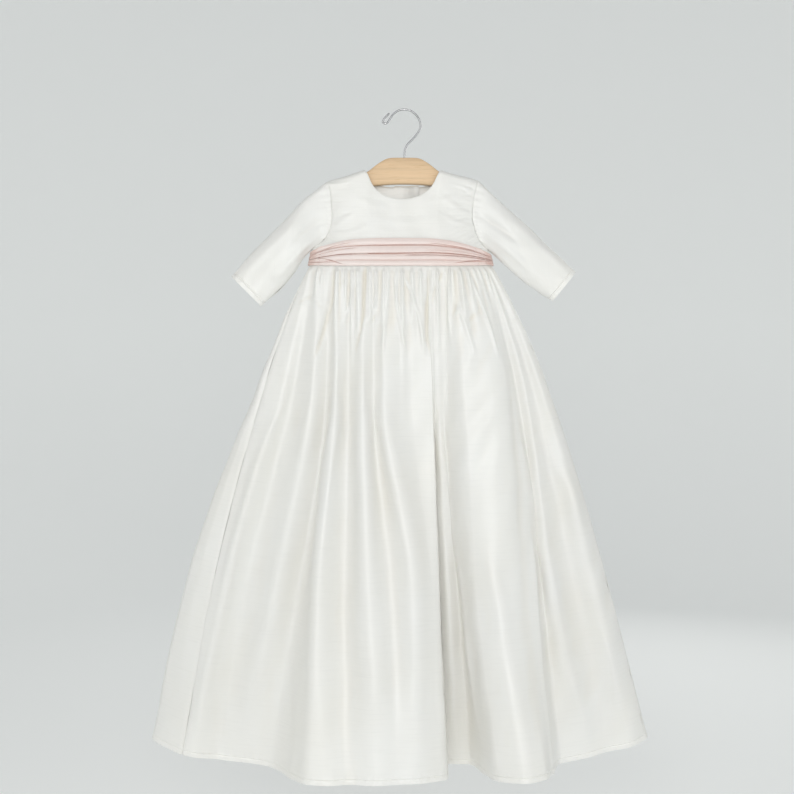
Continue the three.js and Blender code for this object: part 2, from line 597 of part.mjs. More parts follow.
// Place of each fold round the skirt, half by hem length and half by waist length
const foldPlace = (() => {
  const hem = [];
  const waist = [];
  for (let i = 0; i < foldCount; i += 1) {
    const j = (i + 1) % foldCount;
    hem.push(Math.hypot(FOLDS[j].x3 - FOLDS[i].x3, FOLDS[j].y3 - FOLDS[i].y3));
    waist.push(Math.hypot(foldWaist[j].x - foldWaist[i].x, foldWaist[j].y - foldWaist[i].y));
  }
  const sum = (list) => list.reduce((a, b) => a + b, 0);
  const places = [0];
  for (let i = 0; i < foldCount; i += 1) {
    places.push(places[i] + 0.5 * hem[i] / sum(hem) + 0.5 * waist[i] / sum(waist));
  }
  return places;
})();
// X and Y of every fold at one level of the skirt
const levelCache = new Map();
function foldLevel(v) {
  if (!levelCache.has(v)) {
    const below = Math.max(0, v - UNDER_SHARE) / (1 - UNDER_SHARE);
    const early = below < FOLD_LEVELS[1] ? FOLD_LEVELS[1] * (below / FOLD_LEVELS[1]) ** 0.88 : below;
    levelCache.set(v, FOLDS.map((f, i) => ({
      x: through(FOLD_LEVELS, [f.waist, f.x1, f.x2, f.x3], early),
      y: through(FOLD_LEVELS, [foldWaist[i].y, f.y1, f.y2, f.y3], below),
    })));
  }
  return levelCache.get(v);
}
function ringValue(values, key, place) {
  let i = 0;
  while (i < foldCount - 1 && place > foldPlace[i + 1]) {
    i += 1;
  }
  const wrap = (j) => (j + foldCount) % foldCount;
  const turn = (j) => foldPlace[wrap(j)] + Math.floor(j / foldCount);
  const at = (j) => values[wrap(j)][key];
  const slope = (j) => slopeAt(turn(j - 1), turn(j), turn(j + 1), at(j - 1), at(j), at(j + 1));
  return hermite(turn(i), turn(i + 1), at(i), at(i + 1), slope(i), slope(i + 1), place);
}
function ringPoint(anyPlace, v) {
  const place = anyPlace - (anyPlace > 1 ? 1 : 0) + (anyPlace < 0 ? 1 : 0);
  const level = foldLevel(v);
  const point = { x: ringValue(level, 'x', place), y: ringValue(level, 'y', place) };
  const settle = 1 - smooth(v / WAIST_SETTLE);
  if (settle > 0) {
    // Near the waist the ring keeps exactly to the bodice's own round
    const top = foldLevel(0);
    const front = place <= foldPlace[SEAM_RIGHT_ROW];
    const exact = waistOf(ringValue(top, 'x', place)).depth * (front ? -1 : 1);
    point.y += (exact - ringValue(top, 'y', place)) * settle;
  }
  return point;
}
function skirtCell(place, v, shiftAlong, swell, wall) {
  const here = ringPoint(place, v);
  const d = 0.0004;
  const before = ringPoint(place - d, v);
  const after = ringPoint(place + d, v);
  const length = Math.hypot(after.x - before.x, after.y - before.y);
  const tx = (after.x - before.x) / length;
  const ty = (after.y - before.y) / length;
  const n = new THREE.Vector3(ty, -tx, 0);
  const top = ringPoint(place, 0);
  const hem = ringPoint(place, 1);
  const fall = Math.sqrt(SKIRT_LENGTH ** 2 - (hem.x - top.x) ** 2 - (hem.y - top.y) ** 2);
  const z = waistZ(waistOf(top.x).s) - SEAM_GAP * 1.5 - v * fall;
  const p = new THREE.Vector3(here.x + tx * shiftAlong, here.y + ty * shiftAlong, z);
  p.addScaledVector(n, swell);
  return { at: place, outer: p, inner: p.clone().addScaledVector(n, -wall) };
}
// Level stops of the skirt; the upper ones carry the gathers, which tuck in a little under the sash
const GATHER_STOPS = [0, 0.0042, 0.0095, 0.024, 0.055, 0.1];
const LOWER_STOPS = [0.155, 0.23, 0.32, 0.43, 0.55, 0.68, 0.83, 1 - (HEM_DEPTH + 0.7) / SKIRT_LENGTH,
  1 - HEM_DEPTH / SKIRT_LENGTH, 1];
function gatherSwell(g, phase, v, seed) {
  const reach = 0.07 + 0.13 * uneven(g, seed + 1);
  const size = GATHER_SWELL * (0.6 + 0.6 * uneven(g, seed));
  const wave = -Math.cos(2 * Math.PI * phase);
  const under = (wave - 1) * 0.9 - UNDER_SASH;
  const open = (wave * size + 0.5) * Math.exp(-((v / reach) ** 2));
  return mix(under, open, smooth((v - 0.0045) / 0.012));
}
function skirtPanel(fromRow, toRow, gathers, seed) {
  const start = foldPlace[fromRow];
  const end = foldPlace[toRow];
  const ends = (k, last) => {
    if (k === 0) {
      return SEAM_GAP * 0.6;
    }
    return k === last ? -SEAM_GAP * 0.6 : 0;
  };
  const rows = GATHER_STOPS.map((v) => {
    const last = gathers * 4;
    return Array.from({ length: last + 1 }, (_, k) => {
      const place = mix(start, end, k / last);
      const g = Math.min(gathers - 1, Math.floor(k / 4));
      const calm = smooth(Math.min(k, last - k) / 5);
      const flat = -UNDER_SASH * (1 - smooth(v / 0.01));
      const swell = mix(flat, gatherSwell(g, k / 4 - g, v, seed), calm);
      return skirtCell(place, v, ends(k, last), swell, SKIRT_WALL);
    });
  });
  const stops = [];
  for (let i = fromRow; i < toRow; i += 1) {
    const wide = foldPlace[i + 1] - foldPlace[i] > WIDE_FOLD;
    const shares = wide ? [0, 0.25, 0.7] : [0, 0.5];
    shares.forEach((share) => stops.push(mix(foldPlace[i], foldPlace[i + 1], share)));
  }
  stops.push(end);
  for (const v of LOWER_STOPS) {
    const wall = v >= 1 - (HEM_DEPTH + 0.2) / SKIRT_LENGTH ? SKIRT_WALL + HEM_EXTRA : SKIRT_WALL;
    rows.push(stops.map((place, k) => skirtCell(place, v, ends(k, stops.length - 1), 0, wall)));
  }
  return wallGeometry(rows, false);
}
addNode('skirt_front', skirtPanel(0, SEAM_RIGHT_ROW, FRONT_GATHERS, 1), IVORY, 0.5, 0);
addNode('skirt_back_right', skirtPanel(SEAM_RIGHT_ROW, SEAM_BACK_ROW, BACK_GATHERS, 2), IVORY, 0.5, 0);
addNode('skirt_back_left', skirtPanel(SEAM_BACK_ROW, foldCount, BACK_GATHERS, 3), IVORY, 0.5, 0);

// Sash: made from the bodice's own points moved out, in level pleats
const SASH_TOP = [
  { side: -1, z: -198.5 },
  { side: -0.93, z: -193.5 },
  { side: -0.82, z: -188 },
  { side: -0.65, z: -183.2 },
  { side: -0.3, z: -181 },
  { side: 0.3, z: -181.2 },
  { side: 0.55, z: -183.8 },
  { side: 0.8, z: -190.2 },
  { side: 0.92, z: -196.6 },
  { side: 1, z: -201.5 },
];
const SASH_BASE_DROP = 2.2;
function bodiceAtZ(u, z, back) {
  let low = 0.25;
  let high = 1;
  const base = bodicePoint(u, 1, back);
  if (z <= base.z) {
    return { v: 1, extra: z - base.z };
  }
  for (let i = 0; i < 30; i += 1) {
    const mid = (low + high) / 2;
    if (bodicePoint(u, mid, back).z > z) {
      low = mid;
    } else {
      high = mid;
    }
  }
  return { v: (low + high) / 2, extra: 0 };
}
function sashCell(u, share, back, lift) {
  const s = 2 * u - 1;
  const top = look(SASH_TOP, 'side', 'z', s);
  const z = mix(top, waistZ(s) - SASH_BASE_DROP, share);
  const { v, extra } = bodiceAtZ(u, z, back);
  const p = bodicePoint(u, v, back);
  p.z += extra;
  const n = new THREE.Vector3(u === 0 ? -1 : 1, 0, 0);
  if (u === 0 || u === 1) {
    p.y = back ? SEAM_GAP / 2 : -SEAM_GAP / 2;
  } else {
    n.copy(bodiceNormal(u, Math.min(v, 0.985), back)).setZ(0).normalize();
  }
  let k = 0;
  while (k < SASH_PLEATS.length - 2 && share > SASH_PLEATS[k + 1]) {
    k += 1;
  }
  const local = clamp((share - SASH_PLEATS[k]) / (SASH_PLEATS[k + 1] - SASH_PLEATS[k]), 0, 1);
  const quiet = 0.45 + 0.55 * smooth((1 - Math.abs(s)) / 0.12);
  const swell = SASH_SWELL * quiet * Math.sin(Math.PI * local) ** 0.8;
  p.addScaledVector(n, SASH_CLEAR + lift + SASH_WALL + swell);
  return { at: u, outer: p, inner: p.clone().addScaledVector(n, -SASH_WALL - swell * 0.5) };
}
function sashPanel(us, back, lift) {
  const shares = [];
  for (let k = 0; k < SASH_PLEATS.length - 1; k += 1) {
    for (let j = 0; j < 3; j += 1) {
      shares.push(mix(SASH_PLEATS[k], SASH_PLEATS[k + 1], j / 3));
    }
  }
  shares.push(1);
  return wallGeometry(shares.map((share) => us.map((u) => sashCell(u, share, back, lift(u)))), false);
}
// Columns of the sash stand closer together towards the side seams
const SASH_COLUMNS = 11;
const SASH_BACK_GAP = 0.002;
const sideSpread = (n) => spread(0, 1, n).map((t) => (1 - Math.cos(Math.PI * t)) / 2);
const halfSpread = spread(0, 1, SASH_COLUMNS).map((t) => 1 - Math.cos((Math.PI / 2) * t));
const leftSash = halfSpread.map((t) => (LAP_OUTER - SASH_BACK_GAP) * t);
const rightSash = halfSpread.map((t) => 1 - (1 - LAP_OUTER) * t).reverse();
addNode('sash_front', sashPanel(sideSpread(SASH_COLUMNS * 2), false, () => 0), PINK, 0.5, 0);
addNode('sash_back_left', sashPanel(leftSash, true, () => 0), PINK, 0.5, 0);
addNode('sash_back_right', sashPanel(rightSash, true, lapLift), PINK, 0.5, 0);

// Covered buttons down the back lap, the last one on the sash
const BUTTONS = [
  { z: -117, lift: 0, color: IVORY },
  { z: -142, lift: 0, color: IVORY },
  { z: -167, lift: 0, color: IVORY },
  { z: -199, lift: SASH_CLEAR + SASH_WALL + SASH_SWELL + 0.3, color: PINK },
];
BUTTONS.forEach((b, i) => {
  const u = (LAP_INNER + LAP_OUTER) / 2;
  const { v } = bodiceAtZ(u, b.z, true);
  const p = bodicePoint(u, v, true);
  const n = bodiceNormal(u, v, true);
  const start = lapLift(u) + b.lift + 0.45;
  const profile = [
    [0, 0], [BUTTON_RADIUS * 0.75, 0], [BUTTON_RADIUS, BUTTON_HEIGHT * 0.35],
    [BUTTON_RADIUS * 0.8, BUTTON_HEIGHT * 0.8], [BUTTON_RADIUS * 0.4, BUTTON_HEIGHT], [0, BUTTON_HEIGHT],
  ];
  const lathe = new THREE.LatheGeometry(profile.map(([r, h]) => new THREE.Vector2(r, h)), 12);
  const turn = new THREE.Quaternion().setFromUnitVectors(new THREE.Vector3(0, 1, 0), n);
  lathe.applyQuaternion(turn);
  p.addScaledVector(n, start);
  lathe.translate(p.x, p.y, p.z);
  addNode(`button_${i + 1}`, lathe, b.color, 0.5, 0);
});

// Hanger wood: rounded sections along X, with a hole for the wire
const woodStops = [...WOOD.slice(1).reverse().map((w) => ({ ...w, x: WOOD_CENTRE_X - w.out })),
  ...WOOD.map((w) => ({ ...w, x: WOOD_CENTRE_X + w.out }))];
const WOOD_AROUND = 14;
const lastOut = WOOD[WOOD.length - 1].out;
const woodRings = woodStops.map((w) => Array.from({ length: WOOD_AROUND }, (_, k) => {
  const a = 2 * Math.PI * (k + 0.5) / WOOD_AROUND;
  const soft = (c) => Math.sign(c) * Math.abs(c) ** 0.5;
  const thick = w.out === lastOut ? WOOD_HALF * 0.6 : WOOD_HALF;
  const middle = (w.top + w.base) / 2;
  const z = middle + (w.top - w.base) / 2 * soft(Math.sin(a));
  return new THREE.Vector3(w.x, thick * soft(Math.cos(a)), z);
}));
const stem = HOOK_PATH[0];
const hole = new THREE.CylinderGeometry(HOOK_RADIUS + SEAM_GAP, HOOK_RADIUS + SEAM_GAP, 40, 16);
hole.rotateX(Math.PI / 2);
hole.translate(stem[0], 0, stem[1] - SEAM_GAP + 20);
const drilled = toManifold(barGeometry(woodRings)).subtract(toManifold(weld(hole)));
addNode('hanger_wood', fromManifold(drilled), BEECH, 0.6, 0);

// Joins points that lie in the same place
function weld(geometry) {
  const source = geometry.attributes.position;
  const plain = Array.from({ length: source.count }, (_, i) => i);
  const index = geometry.index ? Array.from(geometry.index.array) : plain;
  const seen = new Map();
  const flat = [];
  const place = [];
  for (let i = 0; i < source.count; i += 1) {
    const key = [source.getX(i), source.getY(i), source.getZ(i)].map((c) => c.toFixed(4)).join(',');
    if (!seen.has(key)) {
      seen.set(key, flat.length / 3);
      flat.push(source.getX(i), source.getY(i), source.getZ(i));
    }
    place.push(seen.get(key));
  }
  const faces = [];
  for (let i = 0; i < index.length; i += 3) {
    const [a, b, c] = [place[index[i]], place[index[i + 1]], place[index[i + 2]]];
    if (a !== b && b !== c && a !== c) {
      faces.push(a, b, c);
    }
  }
  const welded = new THREE.BufferGeometry();
  welded.setAttribute('position', new THREE.Float32BufferAttribute(flat, 3));
  welded.setIndex(faces);
  return welded;
}

// Hook: round wire swept along its path
const hookCurve = new THREE.CatmullRomCurve3(HOOK_PATH.map(([x, z]) => new THREE.Vector3(x, 0, z)));
const wire = new THREE.Shape();
wire.absarc(0, 0, HOOK_RADIUS, 0, 2 * Math.PI, false);
const sweep = { steps: 40, curveSegments: 4, bevelEnabled: false, extrudePath: hookCurve };
const hook = new THREE.ExtrudeGeometry(wire, sweep);
addNode('hanger_hook', weld(hook), STEEL, 0.3, 1);

export default group;
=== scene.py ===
import math

import bpy
import numpy as np
from bpy.props import FloatProperty, FloatVectorProperty, PointerProperty
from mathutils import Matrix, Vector


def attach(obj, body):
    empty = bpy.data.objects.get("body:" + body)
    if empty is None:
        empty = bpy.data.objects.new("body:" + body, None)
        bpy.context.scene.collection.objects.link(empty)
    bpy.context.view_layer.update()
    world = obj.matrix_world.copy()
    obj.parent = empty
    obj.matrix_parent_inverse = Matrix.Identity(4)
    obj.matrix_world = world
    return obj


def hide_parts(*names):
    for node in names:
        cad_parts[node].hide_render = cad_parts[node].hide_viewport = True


bl_info = {
    "name": "Christening Gown",
    "version": (1, 0, 0),
    "blender": (4, 5, 0),
    "location": "3D View > Sidebar > Gown",
    "description": "A long silk christening gown with a pleated sash on a child's wooden hanger",
    "category": "Object",
}

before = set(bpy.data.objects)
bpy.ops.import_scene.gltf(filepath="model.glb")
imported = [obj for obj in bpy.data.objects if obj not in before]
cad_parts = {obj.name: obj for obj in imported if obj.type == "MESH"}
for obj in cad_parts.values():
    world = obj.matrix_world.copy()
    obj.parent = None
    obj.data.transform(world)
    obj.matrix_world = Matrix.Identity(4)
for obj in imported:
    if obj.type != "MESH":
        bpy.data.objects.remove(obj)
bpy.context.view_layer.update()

# Everything is in metres. The origin is inside the crown of the hook and the front faces -Y.


# Names, sizes and tables of the shown cloth

# Attribute with each point's place on the flat cloth and the strength of its painted fold shade
CLOTH_PLACE_AND_SHADE = "cloth_place"
SIDES = ("left", "right")
STITCH_PITCH = 0.0026
STITCH_LENGTH = 0.0020
STITCH_RADIUS = 0.0002
BACK_GATHERS = 13
BUTTON_RADIUS = 0.0045
BUTTON_HEIGHT = 0.0032
BUTTON_HEIGHTS = (-0.117, -0.142, -0.167, -0.199)
# How far a button's foot stands off the cloth, and how much more off the sash's pleats
BUTTON_CLEAR = 0.00045
BUTTON_SASH_CLEAR = 0.0003
HOOK_RADIUS = 0.0013
WOOD_HALF = 0.006
WOOD_CENTRE = -0.0008
FLOOR_Z = -1.05
BOWL_FLAT = 2.3
BOWL_CURVE = 0.9
BOWL_HEIGHT = 3.2
BOWL_RINGS = (0.02, 0.6, 1.4)
BOWL_AROUND = 96
CAMERA_X = -0.0098
CAMERA_Z = -0.4011
CAMERA_FIELD = 1.1116
CAMERA_SENSOR = 36

# Lamps: name, the value that holds its power, place, height of the point it is aimed at, size, colour
LAMPS = (
    ("main_light", "key_power", (-0.60, -2.2, 0.40), -0.42, 1.0, (1, 0.985, 0.96)),
    ("second_light", "fill_power", (1.3, -1.9, -0.1), -0.45, 1.2, (0.97, 0.99, 1)),
    ("front_light", "front_power", (CAMERA_X, -1.8, CAMERA_Z + 0.2), -0.42, 0.6, (1, 0.995, 0.985)),
    ("back_light", "back_power", (0.7, 1.7, 0.2), -0.3, 1.0, (1, 0.99, 0.97)),
)
ROOM_COLOUR = (0.92, 0.94, 0.96, 1)
ROOM_LIGHT = 0.42

# Share of the cloth's thickness by which its edges bulge out
RIM_BULGE = 0.3
# Depth at which a hollow of the cloth has its full painted fold shade colour
FOLD_SHADE_DEPTH = 0.0022
# Back neck edge: how far it stands up behind the wood, X where the inner lap's part starts
# and how much more that stands up and leans forward
NECK_STAND = 0.0024
NECK_FLAP = (-0.0145, 0.0016, 0.0030)

# Seam edges: how far each step sinks behind the neighbour and runs on, the share of the last
# step over which the cloth turns in, and half of the gap that is left along the armhole
SEAM_STEPS = ((0.0005, 0.0002), (0.0013, 0.0018))
SEAM_TURN = 0.15
SEAM_CLOSED = 0.00005

# Unevenness of the cloth: length down, length across, height
BODICE_WAVES = (0.09, 0.06, 0.00035)
SLEEVE_WAVES = (0.12, 0.045, 0.0005)
# Dip of the cloth at a seam or an edge: width, depth
NECK_DIP = (0.002, 0.0004)
SHOULDER_DIP = (0.0025, 0.0005)
UNDERARM_DIP = (0.002, 0.0006)
# Soft rise of the cloth beside a seam: distance from the seam, half width, height
BODICE_RISE = (0.003, 0.0015, 0.0002)
SLEEVE_RISE = (0.0032, 0.0016, 0.0002)
# Small gathers at the top of each sleeve: length, height
CAP_GATHERS = (0.0075, 0.00035)

# Hems: share of the depth where the stitches run, thickness of the turned band, depth of the
# groove along the stitches, height and length of its small puckers
HEM_STITCH_SHARE = 0.75
HEM_BAND = 0.0005
HEM_GROOVE = 0.0009
HEM_PUCKER = 0.00028
HEM_PUCKER_LENGTH = 0.011

# Flat cuts: width, length and area where the cut isn't a rectangle
BODICE_SIZES = ((0.27, 0.140, 0.028), (0.17, 0.140, 0.0165))
SASH_CUTS = ((0.270, 0.049), (0.138, 0.049))

# Hanger wood: distance from its middle, height of its top and of its base
WOOD = (
    (0.0, -0.0664, -0.1036),
    (0.012, -0.0664, -0.1038),
    (0.020, -0.0667, -0.1042),
    (0.026, -0.0686, -0.1046),
    (0.038, -0.0764, -0.1058),
    (0.050, -0.0864, -0.1072),
    (0.060, -0.0896, -0.1090),
    (0.076, -0.0934, -0.1134),
    (0.090, -0.0982, -0.1174),
    (0.099, -0.1016, -0.1186),
    (0.1035, -0.1052, -0.1162),
)

# Hook wire, X and Z, from inside the wood up round the crown to the turned-back tip
HOOK_PATH = (
    (0.0007, -0.0860), (0.0007, -0.0760), (0.0007, -0.0640), (0.0016, -0.0540),
    (0.0056, -0.0468), (0.0126, -0.0396), (0.0192, -0.0316), (0.0226, -0.0246),
    (0.0228, -0.0176), (0.0198, -0.0102), (0.0140, -0.0036), (0.0076, 0.0002),
    (0.0000, 0.0013), (-0.0060, 0.0004), (-0.0114, -0.0022), (-0.0162, -0.0068),
    (-0.0198, -0.0122), (-0.0230, -0.0168), (-0.0266, -0.0184), (-0.0294, -0.0166),
    (-0.0282, -0.0124), (-0.0246, -0.0080), (-0.0214, -0.0048),
)

# Top edge of the sash: side from left to right, height
SASH_TOP = (
    (-1.00, -0.1985),
    (-0.93, -0.1935),
    (-0.82, -0.1880),
    (-0.65, -0.1832),
    (-0.30, -0.1810),
    (0.30, -0.1812),
    (0.55, -0.1838),
    (0.80, -0.1902),
    (0.92, -0.1966),
    (1.00, -0.2015),
)
# Places of the sash's pleats from its top edge to its lower edge
SASH_PLEATS = (0, 0.24, 0.56, 0.79, 1)
# Fold lines of the sash: place at the left, middle and right, first and last side, half width, depth
SASH_GROOVES = (
    (0.30, 0.235, 0.30, -1, 1, 0.015, 0.0009),
    (0.60, 0.525, 0.53, -1, 1, 0.014, 0.0016),
    (0.56, 0.600, 0.62, 0.05, 1, 0.012, 0.0013),
    (0.515, 1.44, 1.44, -0.93, -0.62, 0.014, 0.0012),
    (0.46, 0.26, 0.26, -0.95, -0.50, 0.013, 0.0009),
    (0.32, -0.10, -0.10, -0.95, -0.60, 0.014, 0.0009),
    (0.30, 0.15, 0.28, 0.35, 0.98, 0.013, 0.0009),
    (1.10, 1.10, 0.66, 0.58, 0.96, 0.014, 0.0011),
    (0.82, 0.90, 0.90, -0.98, -0.72, 0.013, 0.0009),
    (0.48, 0.44, 0.42, 0.30, 0.97, 0.010, 0.0006),
)
# Wrinkles at the sash's gathered ends: how many, half width, least depth, further depth
SASH_WRINKLES = 9
SASH_WRINKLE = (0.028, 0.0006, 0.0008)
# Sides where the sash's ends are gathered and stitched down: half width and depth of the line
# that the stitches press in, half width and height of the puckers beside it
SASH_STITCHES = (-0.884, 0.845, 0.932)
SASH_STITCH_LINE = (0.0009, 0.0006)
SASH_PUCKERS = (0.004, 0.00035)
SASH_BACK_GAP = 0.002

# Soft folds along each sleeve: share of its girth from the underarm over the top, half width,
# first and last place down the sleeve, height
SLEEVE_FOLDS = {
    "left": (
        (0.13, 0.035, 0.05, 0.75, 0.0022),
        (0.24, 0.030, 0.00, 0.45, -0.0017),
        (0.36, 0.040, 0.25, 1.00, 0.0014),
        (0.64, 0.040, 0.10, 0.90, 0.0015),
        (0.84, 0.035, 0.05, 0.70, 0.0020),
    ),
    "right": (
        (0.15, 0.035, 0.05, 0.65, 0.0021),
        (0.27, 0.028, 0.00, 0.50, -0.0017),
        (0.38, 0.040, 0.30, 1.00, 0.0014),
        (0.62, 0.040, 0.15, 0.95, 0.0015),
        (0.82, 0.035, 0.05, 0.75, 0.0020),
    ),
}

# Soft creases of the bodice: X, Z, angle from level, half length, half width, height
FRONT_CREASES = (
    (-0.084, -0.156, 30, 0.022, 0.0040, 0.0005),
    (-0.072, -0.172, 16, 0.022, 0.0035, 0.0004),
    (0.082, -0.142, -24, 0.024, 0.0038, 0.0007),
    (0.078, -0.160, -16, 0.022, 0.0034, 0.0006),
    (0.060, -0.126, 14, 0.020, 0.0040, 0.0004),
    (-0.050, -0.132, -22, 0.020, 0.0045, 0.0003),
    (0.010, -0.158, 4, 0.040, 0.0050, 0.0003),
)
BACK_CREASES = (
    (-0.078, -0.158, 30, 0.028, 0.0045, 0.0010),
    (0.076, -0.162, -26, 0.030, 0.0045, 0.0010),
    (-0.060, -0.118, -60, 0.022, 0.0050, 0.0006),
    (0.064, -0.122, 62, 0.020, 0.0050, 0.0007),
)

# Ridges of the front gathers: X at the waist, share of their height, half width, reach
FRONT_GATHERS = (
    (-0.1300, 0.36, 0.0019, 0.05),
    (-0.1190, 0.88, 0.0021, 0.10),
    (-0.1135, 0.42, 0.0018, 0.07),
    (-0.1050, 0.27, 0.0021, 0.05),
    (-0.0928, 1.10, 0.0024, 0.14),
    (-0.0859, 0.45, 0.0019, 0.08),
    (-0.0803, 0.88, 0.0018, 0.10),
    (-0.0720, 1.16, 0.0022, 0.16),
    (-0.0637, 0.99, 0.0024, 0.11),
    (-0.0471, 0.94, 0.0024, 0.12),
    (-0.0388, 1.04, 0.0022, 0.09),
    (-0.0278, 0.88, 0.0020, 0.14),
    (-0.0222, 0.36, 0.0018, 0.06),
    (-0.0098, 0.42, 0.0019, 0.09),
    (-0.0029, 1.10, 0.0021, 0.17),
    (0.0109, 0.99, 0.0025, 0.11),
    (0.0220, 0.88, 0.0022, 0.09),
    (0.0395, 0.36, 0.0020, 0.07),
    (0.0455, 1.04, 0.0020, 0.12),
    (0.0570, 0.33, 0.0019, 0.06),
    (0.0621, 0.88, 0.0018, 0.10),
    (0.0663, 0.39, 0.0016, 0.07),
    (0.0760, 1.10, 0.0022, 0.15),
    (0.0856, 0.99, 0.0021, 0.10),
    (0.0950, 0.45, 0.0020, 0.12),
    (0.1020, 0.42, 0.0018, 0.08),
    (0.1100, 0.88, 0.0019, 0.09),
    (0.1188, 0.45, 0.0019, 0.07),
)

# Long soft folds of the skirt: name, height, half width, path as fold number and drop
FRONT_LINES = (
    ("ridge by the side seam", 0.0027, 0.0069,
     ((1.24, 0.28), (0.81, 0.40), (0.86, 0.50), (1.16, 0.66), (0.98, 0.87), (0.45, 0.96))),
    ("left ridge", 0.0035, 0.0144,
     ((3.04, 0.27), (2.89, 0.43), (2.96, 0.55), (3.06, 0.67), (2.96, 0.79), (2.79, 0.97))),
    ("left lobe ridge", 0.0040, 0.0158,
     ((5.02, 0.27), (4.56, 0.41), (4.82, 0.545), (5.10, 0.735), (5.31, 0.88), (5.42, 0.99))),
    ("broad ridge", 0.0045, 0.0230,
     ((7.03, 0.27), (7.07, 0.465), (7.03, 0.71), (7.37, 0.84), (7.87, 0.96))),
    ("middle ridge", 0.0030, 0.0171,
     ((8.96, 0.29), (9.16, 0.43), (9.10, 0.58), (9.02, 0.73), (9.16, 0.81))),
    ("edge of the second lobe", 0.0029, 0.0080,
     ((13.24, 0.35), (14.14, 0.51), (14.82, 0.645), (14.90, 0.82), (14.98, 0.94))),
    ("recess ridge", 0.0018, 0.0057, ((13.12, 0.59), (13.0, 0.98))),
    ("right lobe ridge", 0.0041, 0.0115, ((16.74, 0.585), (17.14, 0.74), (17.16, 0.89), (17.10, 0.99))),
    ("right lobe slope", -0.0028, 0.0104, ((18.57, 0.27), (18.33, 0.55), (18.19, 0.78), (17.96, 0.96))),
    ("thin edge", 0.0021, 0.0046, ((19.13, 0.55), (18.84, 0.82), (18.98, 1.0))),
    ("right ridge", 0.0041, 0.0115,
     ((19.0, 0.35), (20.01, 0.515), (20.74, 0.66), (20.82, 0.82), (21.08, 0.94))),
    ("far right ridge", 0.0032, 0.0092,
     ((21.96, 0.28), (22.34, 0.425), (22.94, 0.453), (22.68, 0.61), (22.86, 0.735), (22.86, 0.90),
      (22.94, 0.96))),
    ("left lobe hollow", -0.0020, 0.012, ((5.9, 0.24), (5.8, 0.45), (6.0, 0.75), (6.1, 0.97))),
    ("right lobe hollow", -0.0018, 0.012, ((8.1, 0.36), (8.0, 0.60), (8.2, 0.90))),
    ("deep waist valley", -0.0029, 0.0051, ((4.33, 0.008), (4.20, 0.07), (3.65, 0.13), (2.82, 0.20))),
    ("second waist valley", -0.0025, 0.0041, ((7.15, 0.006), (6.99, 0.09), (6.40, 0.186))),
    ("third waist valley", -0.0026, 0.0041, ((11.40, 0.01), (10.81, 0.086), (10.73, 0.146), (11.14, 0.19))),
    ("leaning waist valley", -0.0013, 0.0033, ((14.04, 0.018), (12.23, 0.058), (11.55, 0.09))),
    ("first waist ridge", 0.0014, 0.0030, ((9.09, 0.014), (9.01, 0.10), (8.77, 0.186))),
    ("second waist ridge", 0.0017, 0.0026, ((9.37, 0.028), (9.52, 0.10), (9.83, 0.184))),
    ("third waist ridge", 0.0019, 0.0028, ((9.81, 0.03), (10.36, 0.10), (10.62, 0.184))),
    ("fourth waist ridge", 0.0017, 0.0026, ((15.38, 0.014), (15.18, 0.086), (15.35, 0.156))),
    ("fifth waist ridge", 0.0015, 0.0028, ((16.00, 0.084), (16.37, 0.136), (16.57, 0.194))),
    ("sixth waist ridge", 0.0019, 0.0030, ((17.23, 0.036), (17.52, 0.094), (17.81, 0.194))),
    ("side waist ridge", 0.0014, 0.0030, ((21.05, 0.03), (20.82, 0.108))),
    ("left waist ridge", 0.0015, 0.0030, ((6.42, 0.024), (6.07, 0.08), (5.26, 0.13))),
    ("small waist ridge", 0.0014, 0.0024, ((8.27, 0.03), (8.19, 0.07), (7.83, 0.102))),
)
BACK_RIGHT_LINES = (
    ("outer ridge", 0.0034, 0.0090, ((26.2, 0.22), (26.0, 0.45), (26.2, 0.70), (26.1, 0.97))),
    ("outer slope", -0.0025, 0.0080, ((27.2, 0.30), (27.0, 0.60), (27.3, 0.92))),
    ("middle ridge", 0.0036, 0.0110, ((28.0, 0.20), (28.2, 0.48), (28.0, 0.78), (28.2, 0.99))),
    ("inner ridge", 0.0034, 0.0100, ((30.1, 0.26), (29.9, 0.52), (30.1, 0.80), (30.0, 0.98))),
    ("waist valley", -0.0011, 0.0060, ((29.2, 0.01), (29.0, 0.10), (29.2, 0.19))),
)
BACK_LEFT_LINES = (
    ("inner ridge", 0.0036, 0.0100, ((31.9, 0.24), (32.1, 0.50), (31.9, 0.76), (32.0, 0.98))),
    ("middle ridge", 0.0034, 0.0110, ((34.1, 0.21), (33.9, 0.46), (34.1, 0.74), (34.0, 0.99))),
    ("middle slope", -0.0025, 0.0090, ((35.1, 0.30), (35.0, 0.62), (35.2, 0.90))),
    ("outer ridge", 0.0031, 0.0090, ((36.1, 0.26), (36.0, 0.55), (36.2, 0.88))),
    ("turned edge", 0.0022, 0.0060, ((38.2, 0.35), (38.3, 0.65), (38.2, 0.95))),
    ("waist valley", -0.0011, 0.0060, ((33.0, 0.01), (33.2, 0.09), (33.0, 0.17))),
)

# Folds between which the deep recess lies, the drop where it starts to open and how much lower
# it is open, how far it is closed above that, and over how many folds the closing starts
RECESS_FOLDS = (11, 15)
RECESS_START = 0.23
RECESS_REACH = 0.12
RECESS_FILL = 0.8
RECESS_EDGE = 0.5

# Rows of the skirt: drops between which they are even, and how many each stretch has
SKIRT_STOPS = ((0, 0.03, 0.12, 0.35, 0.97, 0.982, 1), (12, 20, 24, 42, 3, 12))

# Top of the skirt: how far the sash presses it in, distances from a seam over which that and the
# gathers start, and drop over which the gathers start below the sash
WAIST_PRESSED = 0.0014
PRESSED_EDGE = 0.003
GATHERS_EDGE = 0.010
GATHERS_START = 0.012

